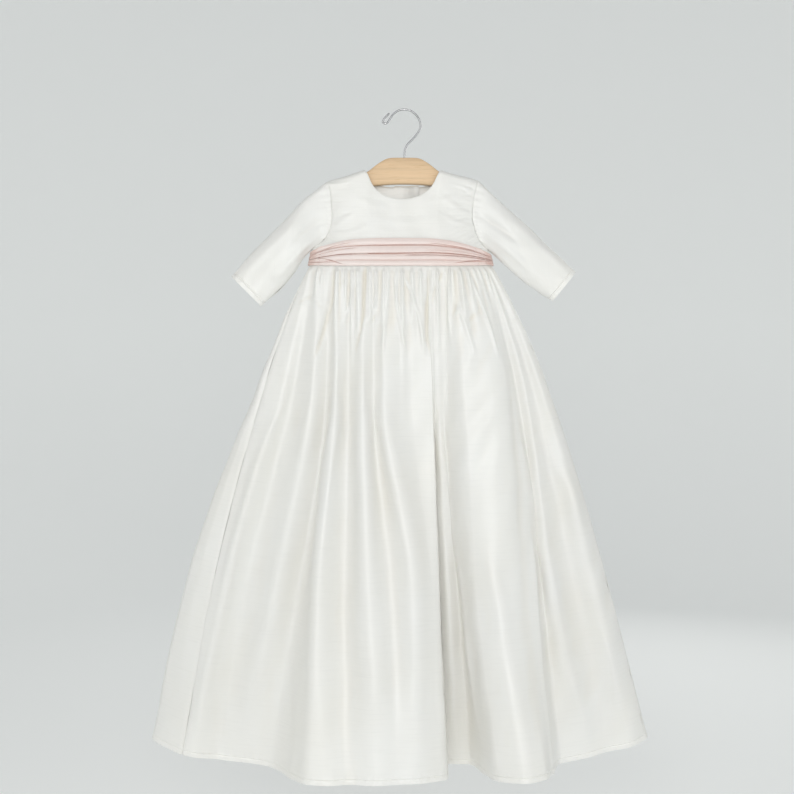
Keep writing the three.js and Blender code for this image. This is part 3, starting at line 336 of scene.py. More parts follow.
# Unevenness of the skirt's cloth: step of the seed, length down and across, height. Its seams
# have a dip and a rise like the bodice's.
SKIRT_WAVES = ((0, 0.32, 0.05, 0.0006), (9, 0.07, 0.035, 0.00022))
SKIRT_DIP = (0.0022, 0.0003)
SKIRT_RISE = (0.0045, 0.0035, 0.0006)
# Share by which the painted shade in the folds fades down the skirt, and the drop where it has faded
FOLD_SHADE_FADE = 0.75
FOLD_SHADE_LOW = 0.4

# Short creases of the skirt: name, fold number, drop, angle from level, half length, half width, height
FRONT_MARKS = (
    ("dimple", 1.09, 0.074, 20, 0.010, 0.0030, -0.0014),
    ("dimple", 2.86, 0.080, -15, 0.011, 0.0035, -0.0014),
    ("dimple", 7.93, 0.110, 60, 0.012, 0.0035, -0.0013),
    ("dimple", 13.12, 0.172, 70, 0.014, 0.0035, -0.0012),
    ("dimple", 16.59, 0.108, 30, 0.012, 0.0035, -0.0014),
    ("side seam pucker", 22.4, 0.080, 12, 0.011, 0.0022, 0.0010),
    ("side seam pucker", 22.7, 0.110, 20, 0.013, 0.0022, 0.0011),
    ("side seam pucker", 22.9, 0.142, 8, 0.012, 0.0024, 0.0010),
    ("side seam pucker", 23.0, 0.176, 15, 0.010, 0.0022, 0.0008),
    ("puff", 5.8, 0.034, 80, 0.006, 0.0030, 0.0014),
    ("puff", 7.6, 0.099, 75, 0.008, 0.0030, 0.0013),
    ("puff", 17.9, 0.042, 80, 0.007, 0.0032, 0.0015),
    ("puff", 15.9, 0.093, 70, 0.008, 0.0030, 0.0014),
    ("puff", 11.6, 0.030, 85, 0.006, 0.0028, 0.0012),
    ("puff", 3.2, 0.028, 80, 0.006, 0.0030, 0.0013),
    ("level crease", 1.55, 0.440, -4, 0.030, 0.0030, 0.0010),
    ("level crease", 5.54, 0.535, 5, 0.028, 0.0028, 0.0009),
    ("side crease", 0.10, 0.640, 24, 0.024, 0.0026, 0.0011),
    ("side crease", 0.08, 0.686, -22, 0.022, 0.0026, 0.0010),
    ("kink", 22.3, 0.455, -22, 0.030, 0.0032, 0.0013),
    ("smile", 16.1, 0.414, 12, 0.022, 0.0028, -0.0009),
    ("smile", 9.25, 0.314, -35, 0.022, 0.0028, -0.0008),
    ("faint crease", 7.70, 0.790, 6, 0.035, 0.0030, 0.0006),
    ("hem crease", 22.85, 0.860, 82, 0.060, 0.0030, 0.0009),
)
BACK_RIGHT_MARKS = (
    ("dimple", 26.0, 0.090, 25, 0.011, 0.0032, -0.0013),
    ("dimple", 29.6, 0.120, -50, 0.012, 0.0034, -0.0012),
    ("level crease", 27.6, 0.420, 6, 0.028, 0.0030, 0.0009),
    ("level crease", 25.4, 0.600, -14, 0.024, 0.0028, 0.0010),
    ("faint crease", 29.0, 0.760, 5, 0.032, 0.0030, 0.0006),
)
BACK_LEFT_MARKS = (
    ("dimple", 32.6, 0.100, 40, 0.011, 0.0032, -0.0013),
    ("dimple", 36.2, 0.085, -20, 0.012, 0.0034, -0.0013),
    ("level crease", 34.5, 0.500, -5, 0.030, 0.0030, 0.0009),
    ("side crease", 39.6, 0.660, 16, 0.024, 0.0026, 0.0010),
    ("hem crease", 39.7, 0.947, 60, 0.016, 0.0026, 0.0010),
    ("faint crease", 33.0, 0.820, 7, 0.030, 0.0030, 0.0006),
)


# Driving sizes, in metres, the same as the solids'
SEAM_GAP = 0.0003
SKIRT_LENGTH = 0.7
SLEEVE_LENGTH = 0.18
WAIST_SETTLE = 0.05
UNDER_SHARE = 0.0045
UNDER_SASH = 0.00025
WAIST_Z = -0.2176
WAIST_RISE = 0.0026
WAIST_LEFT = -0.1325
WAIST_RIGHT = 0.1235
WAIST_DEPTH = 0.022
NECK_DEPTH = 0.012
SHOULDER_DEPTH = 0.0085
SHOULDER_ROLL = 0.008
SIDE_POWER = 2.5
SHOULDER_SHARE = 0.25
ARM_SHARE = 11 / 13
HEM_DEPTH = 0.008
SASH_WALL = 0.0013
SASH_SWELL = 0.0015
SASH_CLEAR = 0.0006
SASH_BASE_DROP = 0.0022
LAP_INNER = 0.6
LAP_OUTER = 0.5
LAP_LIFT = 0.0017

NECK_POINTS = ((-0.0554, -0.0836), (0.0515, -0.0839))
SHOULDER_TIPS = ((-0.1080, -0.1001), (0.1035, -0.0981))
UNDERARMS = ((-0.1280, -0.1920), (0.1180, -0.1950))

# Armhole seam: drop from shoulder to underarm, X on the left, X on the right
ARMHOLE = (
    (0.00, -0.1080, 0.1035),
    (0.10, -0.1046, 0.1015),
    (0.28, -0.1022, 0.0974),
    (0.53, -0.1008, 0.0956),
    (0.72, -0.1032, 0.0992),
    (0.86, -0.1095, 0.1046),
    (0.95, -0.1190, 0.1115),
    (1.00, -0.1280, 0.1180),
)

# Neck edges: side from left to right, X, Z at the front, Z at the back
NECKLINE = (
    (-1.00, -0.0554, -0.0836, -0.0836),
    (-0.93, -0.0510, -0.0900, -0.0890),
    (-0.78, -0.0433, -0.1063, -0.0975),
    (-0.60, -0.0325, -0.1176, -0.1036),
    (-0.36, -0.0199, -0.1234, -0.1066),
    (0.00, -0.0010, -0.1260, -0.1080),
    (0.40, 0.0207, -0.1216, -0.1066),
    (0.63, 0.0330, -0.1134, -0.1030),
    (0.80, 0.0406, -0.1042, -0.0970),
    (0.93, 0.0474, -0.0904, -0.0890),
    (1.00, 0.0515, -0.0839, -0.0839),
)

# Sleeve sections: place from armhole to cuff, upper edge X and Z, lower edge X and Z, half depth
SLEEVES = {
    "left": (
        (0.00, -0.1080, -0.1001, -0.1280, -0.1920, 0.010),
        (0.18, -0.1350, -0.1210, -0.1410, -0.2060, 0.014),
        (0.38, -0.1620, -0.1485, -0.1530, -0.2265, 0.017),
        (0.58, -0.1880, -0.1745, -0.1660, -0.2435, 0.017),
        (0.79, -0.2150, -0.2025, -0.1820, -0.2585, 0.016),
        (1.00, -0.2415, -0.2320, -0.2000, -0.2734, 0.014),
    ),
    "right": (
        (0.00, 0.1035, -0.0981, 0.1180, -0.1950, 0.010),
        (0.18, 0.1270, -0.1198, 0.1310, -0.2075, 0.014),
        (0.38, 0.1530, -0.1442, 0.1470, -0.2225, 0.017),
        (0.58, 0.1810, -0.1697, 0.1640, -0.2370, 0.017),
        (0.79, 0.2110, -0.1993, 0.1850, -0.2528, 0.016),
        (1.00, 0.2398, -0.2267, 0.2076, -0.2668, 0.014),
    ),
}

# Folds round the skirt from the left side seam across the front and back again.
# Columns: name, X at the waist, then X and Y below the waist, lower down and at the hem.
FOLD_LEVELS = (0, 0.268, 0.661, 1)
FOLDS = (
    ("left seam", -0.1325, -0.198, -0.008, -0.266, -0.018, -0.306, -0.028),
    ("seam ridge", -0.1290, -0.172, -0.015, -0.250, -0.025, -0.292, -0.031),
    ("hollow", -0.1240, -0.155, -0.008, -0.221, -0.012, -0.256, -0.016),
    ("side ridge", -0.1150, -0.128, -0.024, -0.180, -0.028, -0.226, -0.012),
    ("foot of big fold", -0.1030, -0.109, -0.012, -0.149, -0.013, -0.188, -0.020),
    ("big fold left", -0.0900, -0.094, -0.030, -0.117, -0.060, -0.124, -0.100),
    ("big fold dip", -0.0760, -0.077, -0.017, -0.081, -0.046, -0.079, -0.097),
    ("big fold middle", -0.0560, -0.057, -0.033, -0.047, -0.066, -0.035, -0.102),
    ("big fold dip two", -0.0420, -0.042, -0.020, -0.017, -0.054, -0.008, -0.096),
    ("big fold right", -0.0240, -0.027, -0.032, 0.012, -0.064, 0.014, -0.093),
    ("big fold shoulder", 0.0080, 0.012, -0.020, 0.038, -0.048, 0.043, -0.078),
    ("big fold edge", 0.0320, 0.039, -0.020, 0.049, -0.036, 0.059, -0.060),
    ("recess left", 0.0380, 0.042, -0.005, 0.050, 0.003, 0.062, 0.008),
    ("recess ridge", 0.0440, 0.048, -0.009, 0.061, -0.006, 0.075, 0.007),
    ("recess right", 0.0500, 0.054, -0.007, 0.075, 0.000, 0.092, 0.004),
    ("second fold flank", 0.0580, 0.062, -0.014, 0.083, -0.022, 0.109, -0.042),
    ("second fold left", 0.0700, 0.085, -0.031, 0.100, -0.048, 0.127, -0.088),
    ("second fold crest", 0.0860, 0.120, -0.031, 0.127, -0.058, 0.160, -0.105),
    ("second fold right", 0.0990, 0.143, -0.025, 0.160, -0.050, 0.186, -0.097),
    ("second fold edge", 0.1060, 0.153, -0.014, 0.182, -0.033, 0.201, -0.062),
    ("hollow right", 0.1100, 0.160, -0.006, 0.193, -0.014, 0.217, -0.020),
    ("right ridge", 0.1140, 0.170, -0.012, 0.207, -0.024, 0.257, -0.014),
    ("right hollow", 0.1175, 0.182, -0.004, 0.237, -0.008, 0.287, -0.007),
    ("far right ridge", 0.1205, 0.193, -0.009, 0.264, -0.014, 0.314, -0.010),
    ("right seam", 0.1235, 0.204, 0.002, 0.284, 0.004, 0.341, 0.008),
    ("right turn", 0.1220, 0.205, 0.008, 0.285, 0.012, 0.343, 0.020),
    ("back ridge a", 0.1160, 0.186, 0.022, 0.258, 0.032, 0.312, 0.042),
    ("back hollow a", 0.1000, 0.158, 0.015, 0.218, 0.018, 0.262, 0.022),
    ("back ridge b", 0.0820, 0.126, 0.030, 0.170, 0.042, 0.203, 0.058),
    ("back hollow b", 0.0620, 0.092, 0.017, 0.124, 0.020, 0.146, 0.026),
    ("back ridge c", 0.0380, 0.058, 0.032, 0.078, 0.044, 0.088, 0.062),
    ("back centre seam", 0.0070, 0.012, 0.020, 0.020, 0.024, 0.026, 0.030),
    ("back ridge d", -0.0260, -0.036, 0.033, -0.046, 0.046, -0.052, 0.064),
    ("back hollow d", -0.0540, -0.072, 0.018, -0.098, 0.020, -0.116, 0.024),
    ("back ridge e", -0.0780, -0.106, 0.031, -0.146, 0.042, -0.176, 0.058),
    ("back hollow e", -0.0980, -0.142, 0.015, -0.200, 0.018, -0.240, 0.020),
    ("back ridge f", -0.1140, -0.172, 0.024, -0.246, 0.034, -0.296, 0.042),
    ("left turn back", -0.1240, -0.200, 0.012, -0.288, 0.016, -0.340, 0.022),
    ("left edge", -0.1295, -0.209, 0.003, -0.303, 0.002, -0.353, 0.002),
    ("left turn front", -0.1318, -0.205, -0.006, -0.288, -0.014, -0.332, -0.016),
)
SEAM_RIGHT = 24
SEAM_BACK = 31
FOLD_COUNT = len(FOLDS)


# Blends and smooth curves


def mix(a, b, t):
    """Blends a into b."""
    return a + (b - a) * t


def smooth(t):
    """A soft step from 0 to 1."""
    c = np.clip(t, 0, 1)
    return c * c * (3 - 2 * c)


def uneven(i, k):
    """A repeatable unevenness between 0 and 1."""
    s = np.sin(i * 12.9898 + k * 78.233) * 43758.5453
    return s - np.floor(s)


def harmonic(left, right):
    """The slope between two neighbours that never overshoots."""
    same = left * right > 0
    total = np.where(same, left + right, 1)
    return np.where(same, 2 * left * right / total, 0)


def hermite(keys, values, slopes, k):
    """The smooth curve through values at keys, with the slopes given."""
    i = np.clip(np.searchsorted(keys, k, side="left") - 1, 0, len(keys) - 2)
    h = keys[i + 1] - keys[i]
    t = (k - keys[i]) / h
    t2, t3 = t * t, t * t * t
    ends = (2 * t3 - 3 * t2 + 1) * values[i] + (3 * t2 - 2 * t3) * values[i + 1]
    return ends + ((t3 - 2 * t2 + t) * slopes[i] + (t3 - t2) * slopes[i + 1]) * h


def through(keys, values, k):
    """The smooth curve through a table's values, straight at both ends."""
    keys, values = np.asarray(keys, float), np.asarray(values, float)
    rise = np.diff(values) / np.diff(keys)
    slopes = np.concatenate([rise[:1], harmonic(rise[:-1], rise[1:]), rise[-1:]])
    return hermite(keys, values, slopes, np.asarray(k, float))


def look(table, column, k):
    """A column of a table at place k of its first column."""
    return through([row[0] for row in table], [row[column] for row in table], k)


def unit(vectors):
    """The vectors at length 1."""
    return vectors / np.maximum(np.linalg.norm(vectors, axis=-1, keepdims=True), 1e-12)


def bell(t):
    """A soft bump, 1 at 0 and near 0 from 2 on."""
    return np.exp(-t * t)


# Large folds of the skirt

WAIST_CENTRE = (WAIST_LEFT + WAIST_RIGHT) / 2
WAIST_HALF = (WAIST_RIGHT - WAIST_LEFT) / 2


def side_round(s):
    """Share of the full depth at side s, from -1 at the left to 1 at the right."""
    return np.sqrt(np.maximum(0, 1 - np.abs(s) ** SIDE_POWER))


def waist_z(s):
    """Height of the waist seam at side s."""
    return WAIST_Z + WAIST_RISE * s**4


def fold_waist():
    """X and Y of each fold at the waist."""
    x = np.array([fold[1] for fold in FOLDS])
    depth = WAIST_DEPTH * side_round(np.clip((x - WAIST_CENTRE) / WAIST_HALF, -1, 1))
    return x, np.where(np.arange(FOLD_COUNT) <= SEAM_RIGHT, -depth, depth)


def fold_places():
    """Place of each fold round the skirt, half by hem length and half by waist length."""
    x, y = fold_waist()
    hem_x, hem_y = (np.array([fold[c] for fold in FOLDS]) for c in (6, 7))
    hem = np.hypot(np.roll(hem_x, -1) - hem_x, np.roll(hem_y, -1) - hem_y)
    waist = np.hypot(np.roll(x, -1) - x, np.roll(y, -1) - y)
    return np.concatenate([[0], np.cumsum(0.5 * hem / hem.sum() + 0.5 * waist / waist.sum())])


PLACES = fold_places()


def fold_level(v):
    """X and Y of every fold at drop v of the skirt."""
    below = max(0, v - UNDER_SHARE) / (1 - UNDER_SHARE)
    knee = FOLD_LEVELS[1]
    early = knee * (below / knee) ** 0.88 if below < knee else below
    waist_y = fold_waist()[1]
    x = [through(FOLD_LEVELS, [f[1], f[2], f[4], f[6]], early) for f in FOLDS]
    y = [through(FOLD_LEVELS, [waist_y[i], f[3], f[5], f[7]], below) for i, f in enumerate(FOLDS)]
    return np.array(x), np.array(y)


def ring_value(values, place):
    """The closed smooth curve through the folds' values, at each place."""
    ring = np.concatenate([values, values[:1]])
    rise = np.diff(ring) / np.diff(PLACES)
    slopes = harmonic(np.roll(rise, 1), rise)
    return hermite(PLACES, ring, np.concatenate([slopes, slopes[:1]]), place)


def ring_points(place, drops):
    """X and Y of the skirt, a row for each drop and a column for each place."""
    place = np.mod(place, 1)
    top_x, top_y = fold_level(0)
    s = (ring_value(top_x, place) - WAIST_CENTRE) / WAIST_HALF
    exact = WAIST_DEPTH * side_round(np.clip(s, -1, 1)) * np.where(place <= PLACES[SEAM_RIGHT], -1, 1)
    rows = []
    for v in drops:
        x, y = fold_level(v)
        settle = 1 - smooth(v / WAIST_SETTLE)
        level_y = ring_value(y, place) + (exact - ring_value(top_y, place)) * settle
        rows.append(np.stack([ring_value(x, place), level_y], axis=-1))
    return np.array(rows)


def skirt_fall(top, hem):
    """Level drop of each column, so that its cloth keeps its length."""
    return np.sqrt(SKIRT_LENGTH**2 - ((hem - top) ** 2).sum(axis=-1))


def fold_number(place):
    """Number of the fold at each place round the skirt, with its share on to the next."""
    return np.interp(place, PLACES, np.arange(FOLD_COUNT + 1))


# Grids of cloth points and the relief on them


def normals_of(points, outward):
    """Directions square to a grid of points, on the side that outward gives."""
    across = np.gradient(points, axis=1)
    down = np.gradient(points, axis=0)
    n = unit(np.cross(across, down))
    return n * np.where((n * outward).sum(axis=-1).mean() < 0, -1, 1)


def arc_along(points):
    """Distance along each row of a grid from its first column."""
    steps = np.linalg.norm(np.diff(points, axis=1), axis=-1)
    return np.concatenate([np.zeros((len(points), 1)), np.cumsum(steps, axis=1)], axis=1)


def drop_down(points):
    """Distance down each column of a grid from its first row."""
    steps = np.linalg.norm(np.diff(points, axis=0), axis=-1)
    return np.concatenate([np.zeros((1, points.shape[1])), np.cumsum(steps, axis=0)], axis=0)


def marks_field(a, b, marks):
    """Height of short creases at places a, b on the cloth.

    Each mark has its middle, its angle from level in degrees, half length, half width and height.
    """
    height = np.zeros_like(a)
    for middle_a, middle_b, angle, long, wide, high in marks:
        c, s = math.cos(math.radians(angle)), math.sin(math.radians(angle))
        along = (a - middle_a) * c + (b - middle_b) * s
        across = (b - middle_b) * c - (a - middle_a) * s
        bow = across - 0.12 * along**2 / long
        lip = 0.45 * bell((bow - 1.6 * wide) / wide)
        height += high * (bell(bow / wide) - lip) * bell(along / long)
    return height


def soft_waves(a, b, seed, long, short, high):
    """Gentle unevenness of cloth, long down the cloth and short across it."""
    total = np.zeros_like(a)
    for i in range(7):
        turn = 2 * math.pi * uneven(i, seed)
        ka = 2 * math.pi / (short * (0.6 + 0.9 * uneven(i, seed + 1)))
        kb = 2 * math.pi / (long * (0.6 + 0.9 * uneven(i, seed + 2)))
        tilt = 1 if i % 2 else -1
        total += np.sin(a * ka + tilt * b * kb + turn)
    return total * high / 3


def hollows(height, reach, size):
    """How deep each point lies below the cloth within reach columns of it, as a share of size; this sets
    how strong the painted fold shade is.
    """
    padded = np.pad(height, ((0, 0), (reach, reach)), mode="edge")
    total = np.cumsum(np.pad(padded, ((0, 0), (1, 0))), axis=1)
    width = 2 * reach + 1
    return np.clip(((total[:, width:] - total[:, :-width]) / width - height) / size, 0, 1)


# Making meshes


def mesh_object(name, points, faces, material, sharp=50):
    """A smooth shaded mesh from points and faces."""
    mesh = bpy.data.meshes.new(name)
    mesh.from_pydata(np.asarray(points).reshape(-1, 3).tolist(), [], faces)
    mesh.polygons.foreach_set("use_smooth", [True] * len(mesh.polygons))
    mesh.set_sharp_from_angle(angle=math.radians(sharp))
    mesh.materials.append(material)
    obj = bpy.data.objects.new(name, mesh)
    bpy.context.scene.collection.objects.link(obj)
    return obj


def grid_faces(rows, columns, start, flip):
    """Quads of a grid of points whose first point has number start."""
    r, c = np.meshgrid(np.arange(rows - 1), np.arange(columns - 1), indexing="ij")
    a = (start + r * columns + c).ravel()
    quads = np.stack([a, a + columns, a + columns + 1, a + 1], axis=1)
    return quads[:, ::-1] if flip else quads


def rim_loop(rows, columns):
    """Numbers of the points round the edge of a grid, in order."""
    top = np.arange(columns)
    right = np.arange(1, rows) * columns + columns - 1
    bottom = (rows - 1) * columns + np.arange(columns - 2, -1, -1)
    left = np.arange(rows - 2, 0, -1) * columns
    return np.concatenate([top, right, bottom, left])


def cloth_shell(name, outer, normals, thickness, cloth, material):
    """A thin closed shell of cloth with softly rounded edges.

    cloth holds the place of each point on the flat cloth, across and down, and how deep in a
    fold it lies, which sets the strength of its painted fold shade.
    """
    rows, columns = outer.shape[:2]
    inner = outer - normals * thickness
    count = rows * columns
    faces = [grid_faces(rows, columns, 0, False), grid_faces(rows, columns, count, True)]
    rim = rim_loop(rows, columns)
    flat = outer.reshape(-1, 3)
    lead = np.roll(flat[rim], -1, axis=0) - np.roll(flat[rim], 1, axis=0)
    away = unit(np.cross(normals.reshape(-1, 3)[rim], lead))
    if ((flat[rim] - flat.mean(axis=0)) * away).sum() < 0:
        away = -away
    middle = (outer + inner).reshape(-1, 3)[rim] / 2 + away * thickness * RIM_BULGE
    mids = 2 * count + np.arange(len(rim))
    ahead, mids_ahead = np.roll(rim, -1), np.roll(mids, -1)
    faces.append(np.stack([rim, ahead, mids_ahead, mids], axis=1))
    faces.append(np.stack([mids, mids_ahead, ahead + count, rim + count], axis=1))
    points = np.concatenate([flat, inner.reshape(-1, 3), middle])
    obj = mesh_object(name, points, np.concatenate(faces).tolist(), material)
    cloth = cloth.reshape(-1, 3)
    place = np.concatenate([cloth, cloth, cloth[rim]])
    attribute = obj.data.attributes.new(CLOTH_PLACE_AND_SHADE, "FLOAT_VECTOR", "POINT")
    attribute.data.foreach_set("vector", place.astype(np.float32).ravel())
    face_outwards(obj.data)
    return obj


def face_outwards(mesh):
    """Turns a closed mesh's faces outwards."""
    count = len(mesh.vertices)
    co = np.zeros(count * 3, np.float32)
    mesh.vertices.foreach_get("co", co)
    mesh.calc_loop_triangles()
    tri = np.zeros(len(mesh.loop_triangles) * 3, np.int32)
    mesh.loop_triangles.foreach_get("vertices", tri)
    a, b, c = (co.reshape(-1, 3)[tri.reshape(-1, 3)[:, k]].astype(float) for k in range(3))
    if (a * np.cross(b, c)).sum() < 0:
        mesh.flip_normals()


def tube_rings(path, side, radius, around):
    """Rings of a round wire along a path; side is square to the path all along."""
    tangent = unit(np.gradient(path, axis=0))
    across = unit(np.cross(tangent, side))
    angle = 2 * math.pi * np.arange(around) / around
    ring = across[:, None] * np.cos(angle)[None, :, None] + side * np.sin(angle)[None, :, None]
    return path[:, None] + ring * np.asarray(radius).reshape(-1, 1, 1)


def ring_faces(rings, around, start=0):
    """Quads between rings, with both ends closed by one many-sided face."""
    faces = []
    for r in range(rings - 1):
        for k in range(around):
            a, b = start + r * around, start + (r + 1) * around
            j = (k + 1) % around
            faces.append((a + k, a + j, b + j, b + k))
    last = start + (rings - 1) * around
    faces.append(tuple(range(start + around - 1, start - 1, -1)))
    faces.append(tuple(range(last, last + around)))
    return faces


def finish_piece(obj, nodes):
    """Puts a piece on the hanging body in place of its plain solids."""
    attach(obj, "root")
    if nodes:
        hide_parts(*nodes)


# Cloth panels


def steps_between(stops, counts):
    """Values from stop to stop, each stretch cut into its own count."""
    parts = [np.linspace(a, b, n, endpoint=False) for a, b, n in zip(stops, stops[1:], counts)]
    return np.concatenate([*parts, [stops[-1]]])


def tuck(points, normals, cloth, end, reach=1.0, rows=False):
    """Carries a seam edge of a panel on behind its neighbour, as a seam allowance.

    end is 0 for the first column and 1 for the last, or the first and last row.
    """
    if rows:
        turned = (np.swapaxes(a, 0, 1) for a in (points, normals, cloth))
        return [np.swapaxes(a, 0, 1) for a in tuck(*turned, end, reach)]
    edge, next_in = (0, 1) if end == 0 else (-1, -2)
    p, n, c = points[:, edge], normals[:, edge], cloth[:, edge]
    lean = unit(p - points[:, next_in]) * np.reshape(reach, (-1, 1))
    added = [p - n * sink + lean * out for sink, out in SEAM_STEPS]
    grids = []
    for grid, extra in ((points, added), (normals, [n, n]), (cloth, [c, c])):
        near = mix(grid[:, edge], grid[:, next_in], SEAM_TURN)
        extra = np.stack([near, grid[:, edge], *extra], axis=1)
        parts = [extra[:, ::-1], grid[:, 1:]] if end == 0 else [grid[:, :-1], extra]
        grids.append(np.concatenate(parts, axis=1))
    return grids


def edge_dip(distance, width, depth):
    """How far cloth sinks beside a seam, from its distance to the seam."""
    return -depth * np.clip(1 - distance / width, 0, 1) ** 2


def edge_rise(distance, at, width, high):
    """How far cloth rises beside a seam, most at the distance at."""
    return high * bell((distance - at) / width)


def skirt_base(place, drops):
    """Points of the skirt in its largest folds, without gathers."""
    xy = ring_points(place, drops)
    left, right = ring_points([PLACES[f] for f in RECESS_FOLDS], drops).swapaxes(0, 1)[:, :, None]
    fold = fold_number(place)
    first, last = RECESS_FOLDS
    share = np.clip((fold - first) / (last - first), 0, 1)[None, :, None]
    filled = smooth((fold - first) / RECESS_EDGE) * smooth((last - fold) / RECESS_EDGE)
    filled = filled[None, :, None]
    fade = 1 - smooth((np.asarray(drops) - RECESS_START) / RECESS_REACH)
    xy = mix(xy, mix(left, right, share), RECESS_FILL * filled * fade[:, None, None])
    top, hem = ring_points(place, [0, 1])
    s = np.clip((top[:, 0] - WAIST_CENTRE) / WAIST_HALF, -1, 1)
    start = waist_z(s) - SEAM_GAP * 1.5
    z = start - np.asarray(drops)[:, None] * skirt_fall(top, hem)
    return np.concatenate([xy, z[..., None]], axis=-1)


def level_outward(points):
    """Level directions square to the skirt's rows, pointing out of the ring."""
    along = unit(np.gradient(points[..., :2], axis=1))
    return np.stack([along[..., 1], -along[..., 0], np.zeros(points.shape[:2])], axis=-1)


def gather_field(arc, drops, gathers, size):
    """Height of the waist gathers; arc is each column's place along the waist.

    gathers holds the place of each ridge, its height as a share of size, half width and reach.
    """
    v = np.asarray(drops)[:, None]
    height = np.zeros((len(drops), len(arc)))
    for at, share, wide, reach in gathers:
        lean = (uneven(at * 997, 5) - 0.5) * wide * 1.2 * smooth(v / reach)
        ridge = bell((arc - at - lean) / (wide * (1 + 0.35 * v / reach)))
        height += size * share * ridge * np.exp(-((v / reach) ** 2))
    middle = height[:12].mean()
    return height - middle * np.exp(-((v / 0.12) ** 2))


def waist_gathers(gathers, arc, x, seed):
    """Gathers: place along the waist, share of height, half width and reach.

    gathers gives them by X; a panel without its own has uneven ones all across.
    """
    if gathers:
        return [(np.interp(g[0], x, arc), *g[1:]) for g in gathers]
    rows = []
    length, count = arc[-1], BACK_GATHERS
    for i in range(count):
        at = length * (i + 0.5 + 0.5 * (uneven(i, seed) - 0.5)) / count
        share = 0.6 + 0.6 * uneven(i, seed + 1)
        rows.append((at, share, length / count * 0.3, 0.06 + 0.12 * uneven(i, seed + 2)))
    return rows


def line_field(arc, drops, fold, lines):
    """Height of long soft folds that follow the skirt down.

    Each line has its height, half width and its path as pairs of fold number and drop.
    """
    v = np.asarray(drops)
    height = np.zeros_like(arc)
    for _, high, wide, path in lines:
        at_drop = [p[1] for p in path]
        at_fold = through(at_drop, [p[0] for p in path], np.clip(v, at_drop[0], at_drop[-1]))
        fade = 0.18 * (at_drop[-1] - at_drop[0]) + 0.01
        low = 1 - smooth((v - at_drop[-1]) / fade + 1) if at_drop[-1] < 0.97 else np.ones_like(v)
        reach = smooth((v - at_drop[0]) / fade + 0.5) * low
        for r in np.nonzero(reach > 0.001)[0]:
            place = np.interp(at_fold[r], fold, arc[r])
            height[r] += high * reach[r] * bell((arc[r] - place) / (wide * (0.7 + 0.6 * v[r])))
    return height


def fold_marks(arc, drops, fold, marks):
    """Short creases placed by fold number and drop, as marks for marks_field."""
    v = np.asarray(drops)
    height = np.zeros_like(arc)
    down = np.broadcast_to((v * SKIRT_LENGTH)[:, None], arc.shape)
    for _, at_fold, at_drop, angle, long, wide, high in marks:
        r = int(np.argmin(np.abs(v - at_drop)))
        place = np.interp(at_fold, fold, arc[r])
        middle = arc[:, np.argmin(np.abs(arc[r] - place))][:, None]
        height += marks_field(arc - middle, -down, [(0, -at_drop * SKIRT_LENGTH, angle, long, wide, high)])
    return height


def skirt_panel(from_fold, to_fold, columns, gathers, lines, marks, seed, sizes):
    """Points, outward directions and flat cloth places of one skirt panel, with the strength of its painted
    fold shade.
    """
    place = np.linspace(PLACES[from_fold], PLACES[to_fold], columns)
    drops = steps_between(*SKIRT_STOPS)
    base = skirt_base(place, drops)
    level = level_outward(base)
    arc = arc_along(base)
    fold = fold_number(place)
    v = drops[:, None]
    down = np.broadcast_to(v * SKIRT_LENGTH, arc.shape)
    edge = np.minimum(arc, arc[:, -1:] - arc)
    rows = waist_gathers(gathers, arc[0], base[0, :, 0], seed)
    height = gather_field(arc[0], drops, rows, sizes.gather_height) * smooth(edge / GATHERS_EDGE)
    pressed = (-WAIST_PRESSED - UNDER_SASH) * smooth(edge / PRESSED_EDGE)
    height = mix(pressed, height, smooth((v - UNDER_SHARE) / GATHERS_START))
    height += line_field(arc, drops, fold, lines)
    height += fold_marks(arc, drops, fold, marks)
    quiet = smooth(v / 0.1)
    for step, long, short, high in SKIRT_WAVES:
        height += soft_waves(arc, down, seed + step, long, short, high) * quiet
    height += edge_dip(edge, *SKIRT_DIP)
    height += edge_rise(edge, *SKIRT_RISE) * quiet
    height += hem_relief((1 - v) * SKIRT_LENGTH, arc, sizes.hem_depth, seed)
    across = unit(np.gradient(base, axis=1))
    shift = np.zeros_like(arc)
    shift[:, 0], shift[:, -1] = 0.6 * SEAM_GAP, -0.6 * SEAM_GAP
    points = base + level * height[..., None] + across * shift[..., None]
    # Painted shade: how deep the cloth lies in a fold, fading down the skirt, darkens its colour
    deep = hollows(height, 12, FOLD_SHADE_DEPTH) * (1 - FOLD_SHADE_FADE * smooth(v / FOLD_SHADE_LOW))
    return points, level, np.stack([arc, down, deep], axis=-1)


def hem_relief(from_hem, arc, depth, seed):
    """The narrow stitched hem: a thicker band, with a groove along its stitching."""
    stitch = depth * HEM_STITCH_SHARE
    band = HEM_BAND * smooth((depth - from_hem) / 0.0006)
    groove = -HEM_GROOVE * bell((from_hem - stitch) / 0.0008)
    pucker = HEM_PUCKER * np.sin(arc * 2 * math.pi / HEM_PUCKER_LENGTH + 2 * np.sin(arc * 37 + seed))
    return band + groove + pucker * bell((from_hem - stitch) / 0.006)


# Bodice, sleeves and sash


def shoulder_z(x):
    """Height of the shoulder line at x."""
    (left_x, left_z), (right_x, right_z) = NECK_POINTS
    (tip_left_x, tip_left_z), (tip_right_x, tip_right_z) = SHOULDER_TIPS
    left = (left_z - tip_left_z) / (left_x - tip_left_x)
    right = (tip_right_z - right_z) / (tip_right_x - right_x)
    return np.minimum(left_z + left * (x - left_x), right_z + right * (x - right_x))


def roll(x, z):
    """Share of the full depth where the cloth turns over the hanger."""
    d = np.clip((shoulder_z(x) - z) / SHOULDER_ROLL, 0, 1)
    return np.sqrt(1 - (1 - d) ** 2)


def arm_drop(t):
    """Share of the armhole's height at t, slower at the shoulder and the underarm."""
    return (1 - np.cos(math.pi * t)) / 2


